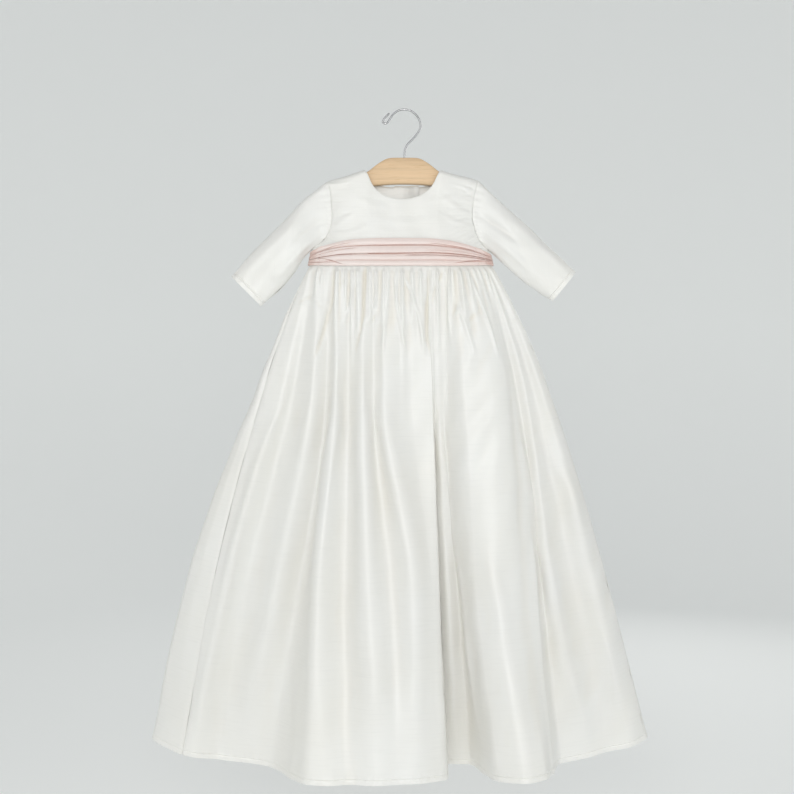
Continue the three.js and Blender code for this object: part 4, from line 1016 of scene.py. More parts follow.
def arm_point(side, t, back):
    """A point of the armhole seam, t from the shoulder to the underarm."""
    k = SIDES.index(side)
    drop = arm_drop(t)
    x = look(ARMHOLE, 1 + k, drop)
    z = mix(SHOULDER_TIPS[k][1], UNDERARMS[k][1], drop)
    y = SHOULDER_DEPTH * roll(x, z) * np.sqrt(np.maximum(0, 1 - drop**6))
    return np.stack([x, y * np.where(back, 1, -1), z], axis=-1)


def arm_across(side, t, back):
    """Level direction across the armhole seam towards the sleeve."""
    step = 0.02
    before = arm_point(side, np.abs(t - step), np.where(t < step, not back, back))
    after_t = np.where(t > 1 - step, 2 - t - step, t + step)
    after = arm_point(side, after_t, np.where(t > 1 - step, not back, back))
    along = unit(after - before)
    normal = np.stack([0 * t, along[..., 2], -along[..., 1]], axis=-1)
    facing = normal[..., 1] * (1 if back else -1)
    normal = normal * np.where(facing < 0, -1, 1)[..., None]
    ends = (t < step) | (t > 1 - step)
    up = np.stack([0 * t, 0 * t, np.where(t < 0.5, 1.0, -1.0)], axis=-1)
    normal = unit(np.where(ends[..., None], up, normal))
    across = unit(np.cross(normal, along))
    lean = -1 if side == "left" else 1
    return across * np.where(across[..., :1] * lean < 0, -1, 1)


def side_edge(side, v):
    """X, Z and depth of the bodice's side: down the armhole, then down the side seam."""
    k = SIDES.index(side)
    t = v / ARM_SHARE
    arm = arm_point(side, np.minimum(t, 1), False)
    down = (t - 1) * ARM_SHARE / (1 - ARM_SHARE)
    waist = (WAIST_LEFT, WAIST_RIGHT)[k]
    on_arm = t <= 1
    x = np.where(on_arm, arm[..., 0], mix(UNDERARMS[k][0], waist, down))
    z = np.where(on_arm, arm[..., 2], mix(UNDERARMS[k][1], waist_z(1), down))
    return x, z, np.where(on_arm, -arm[..., 1], 0)


def top_edge(u, back):
    """X and Z of the shoulder lines and the neck edge."""
    to_neck = np.clip(u / SHOULDER_SHARE, 0, 1)
    to_neck_right = np.clip((1 - u) / SHOULDER_SHARE, 0, 1)
    side = np.clip((u - 0.5) / (0.5 - SHOULDER_SHARE), -1, 1)
    edge = []
    for axis, column in ((0, 1), (1, 3 if back else 2)):
        left = mix(SHOULDER_TIPS[0][axis], NECK_POINTS[0][axis], to_neck)
        right = mix(SHOULDER_TIPS[1][axis], NECK_POINTS[1][axis], to_neck_right)
        neck = look(NECKLINE, column, side)
        low, high = SHOULDER_SHARE, 1 - SHOULDER_SHARE
        edge.append(np.where(u < low, left, np.where(u > high, right, neck)))
    return edge


def bodice_points(u, v, back):
    """Points of the bodice; u from left to right, v from shoulder to waist."""
    u, v = np.broadcast_arrays(np.asarray(u, float), np.asarray(v, float))
    left_x, left_z, left_depth = side_edge("left", v)
    right_x, right_z, right_depth = side_edge("right", v)
    top_x, top_z = top_edge(u, back)
    s = 2 * u - 1
    low_x, low_z = WAIST_CENTRE + WAIST_HALF * s, waist_z(s)
    top_left, top_right = SHOULDER_TIPS
    w = (top_left[1] - left_z) / (top_left[1] - waist_z(1))
    x = patch(u, w, top_x, low_x, left_x, right_x, (top_left[0], top_right[0], WAIST_LEFT, WAIST_RIGHT))
    z = patch(u, w, top_z, low_z, left_z, right_z, (top_left[1], top_right[1], waist_z(1), waist_z(1)))
    edge = mix(left_depth, right_depth, u)
    full = np.where(v / ARM_SHARE < 0.5, SHOULDER_DEPTH, edge)
    middle = mix(NECK_DEPTH, WAIST_DEPTH, w)
    depth = np.maximum(0, full + (middle - full) * side_round(s))
    inside = (u > 0) & (u < 1)
    y = np.where(inside, depth * roll(x, z), edge)
    return np.stack([x, y if back else -y, z], axis=-1)


def patch(u, w, top, low, left, right, corners):
    """A surface stretched between four edges."""
    top_corners = mix(corners[0], corners[1], u)
    low_corners = mix(corners[2], corners[3], u)
    return (1 - w) * (top - top_corners) + w * (low - low_corners) + mix(left, right, u)


def arm_stops(count):
    """Places down the armhole, close together at the underarm."""
    q = np.linspace(0, 1, count)
    d = mix(q, arm_drop(q), 0.6)
    return np.arccos(1 - 2 * d) / math.pi


def bodice_panel(columns, back, lift, marks, seed):
    """Points, outward directions and flat cloth places of a bodice panel, with the strength of its painted
    fold shade.
    """
    arm = arm_stops(70) * ARM_SHARE
    rows = np.concatenate([arm, np.linspace(ARM_SHARE, 1, 15)[1:]])
    u, v = columns[None, :], rows[:, None]
    base = bodice_points(u, v, back)
    t = np.minimum(rows / ARM_SHARE, 1)
    outward = np.array([0, 1 if back else -1, 0.2])
    for side, edge, place in (("left", 0, 0.0), ("right", -1, 1.0)):
        if columns[edge] == place:
            closed = (SEAM_CLOSED * (rows <= ARM_SHARE))[:, None]
            base[:, edge] -= arm_across(side, t, back) * closed
    half = SEAM_GAP / 2
    y = base[..., 1]
    base[..., 1] = np.maximum(y, half) if back else np.minimum(y, -half)
    normals = normals_of(base, outward)
    arc, down = arc_along(base), drop_down(base)
    height = marks_field(base[..., 0], base[..., 2], marks)
    height += soft_waves(base[..., 0], base[..., 2], seed, *BODICE_WAVES)
    for edge, place in ((0, 0.0), (-1, 1.0)):
        if columns[edge] == place:
            height += edge_rise(arc if edge == 0 else arc[:, -1:] - arc, *BODICE_RISE)
    neck = (u >= SHOULDER_SHARE) & (u <= 1 - SHOULDER_SHARE)
    height += np.where(neck, edge_dip(down, *NECK_DIP), edge_dip(down, *SHOULDER_DIP))
    # Painted shade: the third value darkens the colour where the bodice lies deep in a crease
    cloth = np.stack([base[..., 0], -base[..., 2], hollows(height, 6, FOLD_SHADE_DEPTH)], axis=-1)
    height = height + lift(u)
    return base + normals * height[..., None], outward, cloth


def raise_neck(points, u, inner):
    """Stands the back neck edge up behind the wood, and the inner lap a little more."""
    x, down = points[..., 0].copy(), drop_down(points)
    reach = (1 - smooth(down / 0.03)) * (u >= SHOULDER_SHARE) * (u <= 1 - SHOULDER_SHARE)
    start, rise, lean = NECK_FLAP
    flap = smooth((x - start) / 0.0012) if inner else np.zeros_like(x)
    points[..., 2] += (NECK_STAND * bell(x / 0.036) ** 2 + rise * flap) * reach
    points[..., 1] -= lean * flap * smooth((x - 0.004) / 0.012) * reach
    return points


def seam_puckers(side, back, count, size, seed):
    """Short creases that leave the armhole seam across the bodice, as marks for marks_field."""
    marks = []
    for i in range(count):
        t = 0.12 + 0.78 * (i + 0.6 * uneven(i, seed)) / count
        p = arm_point(side, np.array(t), back)
        across = arm_across(side, np.array(t), back)
        long = 0.006 + 0.010 * uneven(i, seed + 1)
        angle = math.degrees(math.atan2(-across[2], -across[0])) + 24 * (uneven(i, seed + 2) - 0.5)
        middle = p - across * (long + 0.001)
        high = size * (0.5 + uneven(i, seed + 3)) * (1 if i % 2 else -0.8)
        marks.append((middle[0], middle[2], angle, long, 0.0016, high))
    return marks


def sleeve_points(side, s, t, back):
    """Points of a sleeve; s from armhole to cuff, t from its upper edge to its lower edge."""
    table = SLEEVES[side]
    k = SIDES.index(side)
    s, t, back = np.broadcast_arrays(s, t, back)
    upper = [look(table, c, s) for c in (1, 2)]
    lower = [look(table, c, s) for c in (3, 4)]
    up = 1 - arm_drop(t)
    x, z = (mix(low, high, up) for low, high in zip(lower, upper))
    seam = arm_point(side, t, back)
    straight = mix(UNDERARMS[k][0], SHOULDER_TIPS[k][0], up)
    bow = (1 - np.clip(s / 0.5, 0, 1)) ** 2
    x = x + (seam[..., 0] - straight) * bow
    full = look(table, 5, s) * np.sin(math.pi * t) ** 0.85
    depth = mix(np.abs(seam[..., 1]), full, smooth(s / 0.3))
    return np.stack([x, np.where(back, depth, -depth), z], axis=-1)


def sleeve_panel(side, sizes):
    """Points, outward directions and flat cloth places of a sleeve, cut open along its underarm seam, with
    the strength of its painted fold shade.
    """
    stops = arm_stops(56)
    t = np.concatenate([stops[::-1], stops[1:]])
    back = np.arange(len(t)) >= len(stops)
    hem = HEM_DEPTH / SLEEVE_LENGTH
    s = steps_between((0, 0.1, 1 - 1.4 * hem, 1), (14, 58, 20))
    base = sleeve_points(side, s[:, None], t[None, :], back[None, :])
    for columns, behind in ((~back, False), (back, True)):
        base[0, columns] += arm_across(side, t[columns], behind) * SEAM_CLOSED
    half = SEAM_GAP / 2
    base[:, 0, 1] = np.minimum(base[:, 0, 1], -half)
    base[:, -1, 1] = np.maximum(base[:, -1, 1], half)
    middle = sleeve_points(side, s[:, None], np.full((1, len(t)), 0.5), np.full((1, len(t)), False))
    middle = middle * [1, 0, 1]
    outward = unit(base - middle)
    normals = normals_of(base, outward)
    arc, down = arc_along(base), drop_down(base)
    girth = arc[:, -1:]
    share = arc / girth
    seed = 20 + SIDES.index(side)
    height = soft_waves(arc, down, seed, *SLEEVE_WAVES) * smooth(s / 0.15)[:, None]
    for at, wide, start, stop, high in SLEEVE_FOLDS[side]:
        reach = smooth((s - start) / 0.15) * (1 - smooth((s - stop) / 0.15 + 1))
        height += high * bell((share - at) / wide) * reach[:, None]
    cap = bell(s[:, None] / 0.07) * smooth(np.abs(t) / 0.05)
    long, high = CAP_GATHERS
    height += high * np.sin(arc * 2 * math.pi / long + 3 * np.sin(arc * 90 + seed)) * cap
    height += edge_rise(down, *SLEEVE_RISE)
    height += edge_dip(np.minimum(arc, girth - arc), *UNDERARM_DIP)
    height += hem_relief(down[-1:] - down, arc, sizes.hem_depth, seed)
    # Painted shade in the sleeve's folds, at a third of its full strength
    cloth = np.stack([arc, down, 0.3 * hollows(height, 6, FOLD_SHADE_DEPTH)], axis=-1)
    return base + normals * height[..., None], outward, cloth


def bodice_direction(u, v, back):
    """Level direction square to the bodice."""
    d = 0.01
    v = np.minimum(v, 0.985)
    left = bodice_points(np.clip(u - d, 0, 1), v, back)
    right = bodice_points(np.clip(u + d, 0, 1), v, back)
    n = np.cross(right - left, [0, 0, 1.0])
    n = unit(n * [1, 1, 0])
    n = n * np.where(n[..., 1:2] * (1 if back else -1) < 0, -1, 1)
    side = np.where(u == 0, -1.0, 1.0)[..., None] * np.array([1.0, 0, 0])
    return np.where(((u == 0) | (u == 1))[..., None], side, n)


def bodice_at(u, z, back):
    """Place v of the bodice at height z, and how far z lies under its lower edge."""
    low = np.full(u.shape, 0.25)
    high = np.ones(u.shape)
    for _ in range(26):
        middle = (low + high) / 2
        above = bodice_points(u, middle, back)[..., 2] > z
        low, high = np.where(above, middle, low), np.where(above, high, middle)
    base = bodice_points(u, np.ones(u.shape), back)[..., 2]
    return np.where(z <= base, 1, (low + high) / 2), np.minimum(0, z - base)


def lap_lift(u):
    """How much further out the outer back panel lies where it laps."""
    return LAP_LIFT * smooth((0.68 - u) / 0.06)


def sash_panel(columns, back, lift, seed):
    """Points, outward directions and flat cloth places of a stretch of the sash, with the strength of its
    painted shade.
    """
    share = steps_between((0, 0.06, 0.94, 1), (7, 100, 7))
    u, share = np.broadcast_arrays(columns[None, :], share[:, None])
    s = 2 * u - 1
    z = mix(look(SASH_TOP, 1, s), waist_z(s) - SASH_BASE_DROP, share)
    v, extra = bodice_at(u, z, back)
    base = bodice_points(u, v, back)
    base[..., 2] += extra
    half = SEAM_GAP / 2
    ends = (u == 0) | (u == 1)
    base[..., 1] = np.where(ends, half if back else -half, base[..., 1])
    n = bodice_direction(u, v, back)
    along = arc_along(base)
    relief = sash_relief(s, share, along, back, seed)
    height = SASH_CLEAR + SASH_WALL + lift(u) + relief
    # Painted shade in the sash's grooves, and a painted shade over its gathered ends
    deep = np.maximum(hollows(relief.T, 12, 0.7 * FOLD_SHADE_DEPTH).T, 0.55 * smooth((np.abs(s) - 0.90) / 0.06))
    cloth = np.stack([along, drop_down(base), deep], axis=-1)
    return base + n * height[..., None], n, cloth


def sash_relief(s, share, along, back, seed):
    """Height of the sash's level pleats, its grooves and the wrinkles at its gathered ends."""
    place = share + 0.012 * np.sin(along * 41 + seed) * np.sin(math.pi * share)
    quiet = 0.45 + 0.55 * smooth((1 - np.abs(s)) / 0.12)
    height = np.zeros_like(share)
    for top, low in zip(SASH_PLEATS, SASH_PLEATS[1:]):
        local = np.clip((place - top) / (low - top), 0, 1)
        height += SASH_SWELL * quiet * np.sin(math.pi * local**1.25) ** 0.7
    for left, middle, right, start, stop, wide, deep in SASH_GROOVES:
        turn = -1 if back else 1
        line = through((-1, 0, 1), (left, middle, right), s * turn)
        reach = smooth((s * turn - start) / 0.12 + 0.5) * smooth((stop - s * turn) / 0.12 + 0.5)
        past = place - line
        lip = np.where(past < 0, 0.55 * np.exp(np.minimum(past, 0) / 0.07), 0)
        slot = bell((past - wide * 0.5) / wide) + 0.5 * np.exp(-np.maximum(past, 0) / 0.04) * (past >= 0)
        height += deep * (lip - slot) * reach
    for end in (-1, 1):
        for i in range(SASH_WRINKLES):
            at = (i + 0.5 + 0.4 * (uneven(i, seed + end) - 0.5)) / SASH_WRINKLES
            tip = mix(at, 0.5, -0.25) + 0.1 * (uneven(i, seed + 2) - 0.5)
            reach = 0.10 + 0.28 * uneven(i, seed + 3 + end)
            inward = (1 - end * s) / reach
            line = mix(at, tip, np.clip(inward, 0, 1))
            wide, least, more = SASH_WRINKLE
            deep = least + more * uneven(i, seed + 4 + end)
            height -= deep * bell((place - line) / wide) * (1 - smooth(inward))
    if not back:
        for at in SASH_STITCHES:
            away = np.abs(s - at) * WAIST_HALF
            wide, deep = SASH_STITCH_LINE
            height -= deep * bell(away / wide)
            wide, high = SASH_PUCKERS
            height += high * (bell(away / wide) * np.sin(place * 2 * math.pi * SASH_WRINKLES))
    return height


# Hanger, buttons and stitching


def wire_path(points, steps):
    """The smooth path of a wire through its points."""
    p = np.array([(x, 0.0, z) for x, z in points])
    p = np.concatenate([2 * p[:1] - p[1:2], p, 2 * p[-1:] - p[-2:-1]])
    path = []
    for a, b, c, d in zip(p, p[1:], p[2:], p[3:]):
        ab, bc, cd = (math.sqrt(np.linalg.norm(gap)) for gap in (b - a, c - b, d - c))
        leave = ((b - a) / ab - (c - a) / (ab + bc) + (c - b) / bc) * bc
        arrive = ((c - b) / bc - (d - b) / (bc + cd) + (d - c) / cd) * bc
        t = np.linspace(0, 1, steps, endpoint=False)[:, None]
        bend = (2 * t**3 - 3 * t**2 + 1) * b + (3 * t**2 - 2 * t**3) * c
        path.append(bend + (t**3 - 2 * t**2 + t) * leave + (t**3 - t**2) * arrive)
    return np.concatenate([*path, p[-2:-1]])


def wire_mesh(name, material):
    """The hanger's hook, a round wire with a rounded tip."""
    path = wire_path(HOOK_PATH, 8)
    tip = unit(path[-1] - path[-2])
    turn = np.linspace(0, 0.97, 7)[1:] * math.pi / 2
    path = np.concatenate([path, path[-1] + tip * HOOK_RADIUS * np.sin(turn)[:, None]])
    radius = np.full(len(path), HOOK_RADIUS)
    radius[-len(turn):] = HOOK_RADIUS * np.cos(turn)
    rings = tube_rings(path, np.array([0.0, 1.0, 0.0]), radius, 20)
    obj = mesh_object(name, rings, ring_faces(len(rings), 20), material)
    face_outwards(obj.data)
    return obj


def wood_mesh(name, material):
    """The wooden bar of the hanger, with all its edges rounded."""
    place, highest, lowest = np.array(WOOD).T
    last = place[-1]
    out = last * np.sin(np.linspace(-1, 1, 181) * math.pi / 2)
    far = np.abs(out)
    top, base = np.interp(far, place, highest), np.interp(far, place, lowest)
    for _ in range(6):
        top[1:-1] = (top[:-2] + 2 * top[1:-1] + top[2:]) / 4
        base[1:-1] = (base[:-2] + 2 * base[1:-1] + base[2:]) / 4
    end = np.sqrt(np.maximum(0, 1 - np.clip((far - last + 0.006) / 0.006, 0, 1) ** 2))
    around = 48
    angle = 2 * math.pi * (np.arange(around) + 0.5) / around
    cross = np.sign(np.cos(angle)) * np.abs(np.cos(angle)) ** 0.5
    rise = np.sign(np.sin(angle)) * np.abs(np.sin(angle)) ** 0.5
    thick = WOOD_HALF * mix(0.35, 1, end)
    tall = (top - base) / 2 * mix(0.55, 1, end)
    middle = (top + base) / 2
    rings = np.empty((len(out), around, 3))
    rings[..., 0] = WOOD_CENTRE + out[:, None]
    rings[..., 1] = thick[:, None] * cross
    rings[..., 2] = middle[:, None] + tall[:, None] * rise
    obj = mesh_object(name, rings, ring_faces(len(rings), around), material, sharp=70)
    face_outwards(obj.data)
    return obj


def back_seat(u, z):
    """A point of the back bodice at height z and the direction square to it."""
    u = np.array(u, float)
    v, _ = bodice_at(u, z, True)
    d = 0.01
    across = bodice_points(u + d, v, True) - bodice_points(u - d, v, True)
    down = bodice_points(u, v + d, True) - bodice_points(u, v - d, True)
    n = unit(np.cross(across, down))
    return bodice_points(u, v, True), n if n[1] > 0 else -n


def button_mesh(name, z, lift, material):
    """A cloth-covered button, domed and drawn in at its foot."""
    u = (LAP_INNER + LAP_OUTER) / 2
    point, n = back_seat(u, z)
    foot = point + n * (lap_lift(u) + lift + BUTTON_CLEAR)
    side = unit(np.cross(n, [0.0, 0.0, 1.0]))
    up = np.cross(side, n)
    around = 40
    angle = 2 * math.pi * np.arange(around) / around
    turn = np.linspace(0.03, 0.5, 12) * math.pi
    dome = [(math.sin(a), 0.38 + 0.62 * math.cos(a)) for a in turn]
    foot_profile = [(0.985, 0.30), (0.94, 0.2), (0.85, 0.1), (0.72, 0.03), (0.6, 0.0)]
    rings = []
    for wide, high in [*dome, *foot_profile]:
        pleat = 1 + 0.012 * np.sin(angle * 10) * smooth((wide - 0.7) / 0.3) * (high < 0.42)
        circle = side * np.cos(angle)[:, None] + up * np.sin(angle)[:, None]
        rings.append(foot + n * BUTTON_HEIGHT * high + circle * (BUTTON_RADIUS * wide * pleat)[:, None])
    obj = mesh_object(name, np.array(rings), ring_faces(len(rings), around), material)
    face_outwards(obj.data)
    return obj


def along_path(at, length, values):
    """Points or directions at distances along a path."""
    return np.stack([np.interp(at, length, values[:, k]) for k in range(3)], axis=1)


def stitches(name, rows, material):
    """Rows of small stitches; each row has its path and the directions square to the cloth."""
    ring = 6
    angle = 2 * math.pi * np.arange(ring) / ring
    shape = ((-0.5, 0.25), (-0.36, 0.85), (0, 1.0), (0.36, 0.85), (0.5, 0.25))
    points, faces = [], []
    for path, normals in rows:
        length = np.concatenate([[0], np.cumsum(np.linalg.norm(np.diff(path, axis=0), axis=1))])
        at = np.arange(STITCH_PITCH, length[-1] - STITCH_PITCH, STITCH_PITCH)
        middle = along_path(at, length, path)
        along = unit(along_path(at + STITCH_PITCH / 4, length, path) - middle)
        square = unit(along_path(at, length, normals))
        side = np.cross(along, square)
        for m, a, n, s in zip(middle, along, square, side):
            start = len(points) * ring * len(shape)
            circle = n * np.sin(angle)[:, None] + s * np.cos(angle)[:, None]
            rings = [m + a * STITCH_LENGTH * x + circle * STITCH_RADIUS * r for x, r in shape]
            points.append(np.concatenate(rings))
            faces.extend(ring_faces(len(shape), ring, start))
    return mesh_object(name, np.concatenate(points), faces, material, sharp=80)


# Finishes


def new_finish(name, roughness, specular, sheen=0.0, metallic=0.0):
    """A material with its plain shader values set, its node tree and its shader."""
    material = bpy.data.materials.new(name)
    material.use_nodes = True
    shader = material.node_tree.nodes["Principled BSDF"]
    shader.inputs["Roughness"].default_value = roughness
    shader.inputs["Specular IOR Level"].default_value = specular
    shader.inputs["Sheen Weight"].default_value = sheen
    shader.inputs["Sheen Roughness"].default_value = 0.4
    shader.inputs["Metallic"].default_value = metallic
    return material, material.node_tree, shader


def own_places(tree):
    """Places in the object's own frame."""
    return tree.nodes.new("ShaderNodeTexCoord").outputs["Object"]


def stretched(tree, source, scale):
    """Coordinates from a source, scaled apart along each direction."""
    mapping = tree.nodes.new("ShaderNodeMapping")
    mapping.inputs["Scale"].default_value = scale
    tree.links.new(source, mapping.inputs["Vector"])
    return mapping.outputs["Vector"]


def noise(tree, place, scale, detail, roughness=0.5):
    """Soft random values over places."""
    texture = tree.nodes.new("ShaderNodeTexNoise")
    texture.inputs["Scale"].default_value = scale
    texture.inputs["Detail"].default_value = detail
    texture.inputs["Roughness"].default_value = roughness
    tree.links.new(place, texture.inputs["Vector"])
    return texture.outputs["Fac"]


def ramp(tree, factor, stops):
    """Colours over a factor; each stop has its place and colour."""
    node = tree.nodes.new("ShaderNodeValToRGB")
    node.color_ramp.elements[0].position, node.color_ramp.elements[0].color = stops[0]
    node.color_ramp.elements[1].position, node.color_ramp.elements[1].color = stops[-1]
    for place, colour in stops[1:-1]:
        node.color_ramp.elements.new(place).color = colour
    tree.links.new(factor, node.inputs["Fac"])
    return node.outputs["Color"]


def times(tree, first, second):
    """Two colours multiplied."""
    node = tree.nodes.new("ShaderNodeMix")
    node.data_type = "RGBA"
    node.blend_type = "MULTIPLY"
    node.inputs["Factor"].default_value = 1.0
    sockets = {socket.identifier: socket for socket in (*node.inputs, *node.outputs)}
    tree.links.new(first, sockets["A_Color"])
    tree.links.new(second, sockets["B_Color"])
    return sockets["Result_Color"]


def toned(colour, factor):
    """A colour made lighter or darker."""
    return (*(c * factor for c in colour[:3]), 1.0)


def bump(tree, height, strength, distance, before=None):
    """A fine relief from height, on top of the one before."""
    node = tree.nodes.new("ShaderNodeBump")
    node.inputs["Strength"].default_value = strength
    node.inputs["Distance"].default_value = distance
    tree.links.new(height, node.inputs["Height"])
    if before is not None:
        tree.links.new(before, node.inputs["Normal"])
    return node.outputs["Normal"]


def silk(name, colour, shade, hollow, slub):
    """Slubbed silk: thicker threads run level across the cloth here and there. Deep in its folds the colour
    is multiplied towards hollow, as painted shade.
    """
    material, tree, shader = new_finish(name, roughness=0.42, specular=0.7, sheen=0.1)
    shader.inputs["Subsurface Weight"].default_value = 0.3
    shader.inputs["Subsurface Radius"].default_value = (1.0, 0.96, 0.9)
    shader.inputs["Subsurface Scale"].default_value = 0.003
    attribute = tree.nodes.new("ShaderNodeAttribute")
    attribute.attribute_name = CLOTH_PLACE_AND_SHADE
    place = attribute.outputs["Vector"]
    threads = noise(tree, stretched(tree, place, (38, 1100, 0)), 1.0, 2.0, 0.6)
    slubs = noise(tree, stretched(tree, place, (24, 420, 0)), 1.0, 1.0)
    warp = noise(tree, stretched(tree, place, (2600, 30, 0)), 1.0, 1.0)
    cloud = noise(tree, stretched(tree, place, (7, 5, 0)), 1.0, 2.0)
    ground = ramp(tree, cloud, ((0.3, toned(colour, 1.0)), (0.72, (*shade, 1.0))))
    streak = ramp(tree, slubs, ((0.5, (1, 1, 1, 1)), (0.78, toned((1, 1, 1), 1 - slub))))
    # Painted shade: the colour is multiplied towards the hollow colour where the cloth lies deep in a fold
    split = tree.nodes.new("ShaderNodeSeparateXYZ")
    tree.links.new(place, split.inputs["Vector"])
    tint = ramp(tree, split.outputs["Z"], ((0.08, (1, 1, 1, 1)), (1.0, (*hollow, 1.0))))
    cloth = times(tree, ground, tint)
    tree.links.new(times(tree, cloth, streak), shader.inputs["Base Color"])
    weave = bump(tree, threads, 0.18, 0.0001)
    weave = bump(tree, slubs, 0.08, 0.0002, weave)
    tree.links.new(bump(tree, warp, 0.12, 0.0001, weave), shader.inputs["Normal"])
    return material


def beech(name, colour):
    """Pale wood with its grain along the bar."""
    material, tree, shader = new_finish(name, roughness=0.5, specular=0.35)
    where = own_places(tree)
    grain = noise(tree, stretched(tree, where, (9, 260, 260)), 1.0, 3.0)
    flecks = noise(tree, stretched(tree, where, (60, 900, 900)), 1.0, 1.0)
    tone = ramp(tree, grain, (
        (0.30, toned(colour, 0.88)), (0.52, toned(colour, 1.0)), (0.72, toned(colour, 1.05)),
    ))
    fleck = ramp(tree, flecks, ((0.6, (1, 1, 1, 1)), (0.76, (0.90, 0.86, 0.80, 1))))
    tree.links.new(times(tree, tone, fleck), shader.inputs["Base Color"])
    tree.links.new(bump(tree, grain, 0.15, 0.0003), shader.inputs["Normal"])
    return material


def steel(name, colour):
    """Bright drawn steel wire."""
    material, tree, shader = new_finish(name, roughness=0.24, specular=0.5, metallic=1.0)
    where = own_places(tree)
    drawn = noise(tree, where, 420.0, 2.0)
    tone = ramp(tree, drawn, ((0.3, toned(colour, 0.88)), (0.7, toned(colour, 1.0))))
    tree.links.new(tone, shader.inputs["Base Color"])
    return material


def thread(name, colour):
    """Sewing thread."""
    material, tree, shader = new_finish(name, roughness=0.6, specular=0.3, sheen=0.2)
    where = own_places(tree)
    twist = noise(tree, where, 1500.0, 1.0)
    tone = ramp(tree, twist, ((0.3, toned(colour, 0.94)), (0.7, toned(colour, 1.0))))
    tree.links.new(tone, shader.inputs["Base Color"])
    return material


def floor_paint(name, colour, glow):
    """Matt pale paint that gives back a little light of its own, like a lit studio wall."""
    material, tree, shader = new_finish(name, roughness=0.9, specular=0.1)
    shader.inputs["Emission Color"].default_value = (*colour, 1.0)
    shader.inputs["Emission Strength"].default_value = glow
    where = own_places(tree)
    faint = noise(tree, where, 1.5, 1.0)
    tone = ramp(tree, faint, ((0.2, toned(colour, 0.99)), (0.8, toned(colour, 1.0))))
    tree.links.new(tone, shader.inputs["Base Color"])
    return material


def finish(name, make, *values):
    """A finish, made once and then shared."""
    return bpy.data.materials.get(name) or make(name, *values)


# Sizes and colours to change


def length_value(name, description, default, least, most):
    """A length, in metres, that a user can change."""
    return FloatProperty(name=name, description=description, default=default, min=least, max=most,
                         precision=5, unit="LENGTH", subtype="DISTANCE")


def share_value(name, description, default, most):
    """A share that a user can change."""
    return FloatProperty(name=name, description=description, default=default, min=0, max=most,
                         subtype="FACTOR")


def power_value(name, description, default):
    """A lamp's power, in watts, that a user can change."""
    return FloatProperty(name=name, description=description, default=default, min=0, max=200,
                         unit="POWER")


def colour_value(name, description, default):
    """A colour that a user can change."""
    return FloatVectorProperty(name=name, description=description, default=default, min=0, max=1,
                               size=3, subtype="COLOR")


class GownSizes(bpy.types.PropertyGroup):
    """Sizes of the cloth and its folds"""

    cloth_thickness: length_value("Cloth thickness", "Thickness of the silk", 0.0006, 0.0003, 0.0012)
    gather_height: length_value(
        "Gather height", "How far the gathers stand out below the sash", 0.0036, 0.0005, 0.005)
    hem_depth: length_value(
        "Hem depth", "Depth of the narrow hems of skirt and sleeves", HEM_DEPTH, 0.004, 0.015)
    slub: share_value("Slub", "How much the thick level threads show", 0.025, 0.3)


class GownColours(bpy.types.PropertyGroup):
    """Colours of the silk, the thread and the hanger"""

    ivory: colour_value("Gown silk", "Colour of the gown's silk", (0.89, 0.88, 0.848))
    ivory_shade: colour_value(
        "Gown silk, warm", "Warmer colour that the gown's silk has in places", (0.87, 0.852, 0.80))
    # Colour painted deep in the gown's folds as shade
    ivory_fold: colour_value(
        "Gown silk, folds", "Tint of the gown's silk deep in its folds", (0.90, 0.85, 0.77))
    pink: colour_value("Sash silk", "Colour of the sash", (0.90, 0.775, 0.735))
    pink_shade: colour_value(
        "Sash silk, deep", "Deeper colour that the sash has in places", (0.86, 0.67, 0.62))
    # Colour painted deep in the sash's folds and over its gathered ends as shade
    pink_fold: colour_value("Sash silk, folds", "Tint of the sash deep in its folds", (0.74, 0.58, 0.54))
    wood: colour_value("Hanger wood", "Colour of the hanger's wood", (0.74, 0.53, 0.33))
    wire: colour_value("Hook wire", "Colour of the hook's steel", (0.45, 0.45, 0.46))


class GownStage(bpy.types.PropertyGroup):
    """Floor, light and camera"""

    floor: colour_value(
        "Floor", "Colour of the floor and of what lies behind", (0.745, 0.757, 0.75))
    floor_glow: share_value("Floor light", "How much light the floor gives back by itself", 0.257, 2)
    key_power: power_value("Main light", "Power of the main light", 7.5)
    front_power: power_value("Front light", "Power of the soft light beside the camera", 7.4)
    fill_power: power_value("Second light", "Power of the softer light from the right", 3.2)
    back_power: power_value("Back light", "Power of the soft light behind the gown", 6.0)
    camera_distance: length_value(
        "Camera distance", "Distance from the camera to the gown", 1.7, 0.8, 5)


def dupion(tone):
    """The finish of the ivory or the pink silk."""
    colours, sizes = bpy.context.scene.gown_colours, bpy.context.scene.gown_sizes
    # The last colour is the painted shade deep in the folds
    tones = [tuple(getattr(colours, tone + part)) for part in ("", "_shade", "_fold")]
    return finish(f"dupion_{tone}", silk, *tones, sizes.slub)


# Building each piece


class GOWN_OT_hanger(bpy.types.Operator):
    """Builds the wooden hanger and its steel hook"""

    bl_idname = "gown.hanger"
    bl_label = "Hanger"

    def execute(self, context):
        colours = context.scene.gown_colours
        wood = wood_mesh("beech_bar", finish("beech_grain", beech, tuple(colours.wood)))
        finish_piece(wood, ["hanger_wood"])
        hook = wire_mesh("steel_hook", finish("drawn_steel", steel, tuple(colours.wire)))
        finish_piece(hook, ["hanger_hook"])
        return {"FINISHED"}


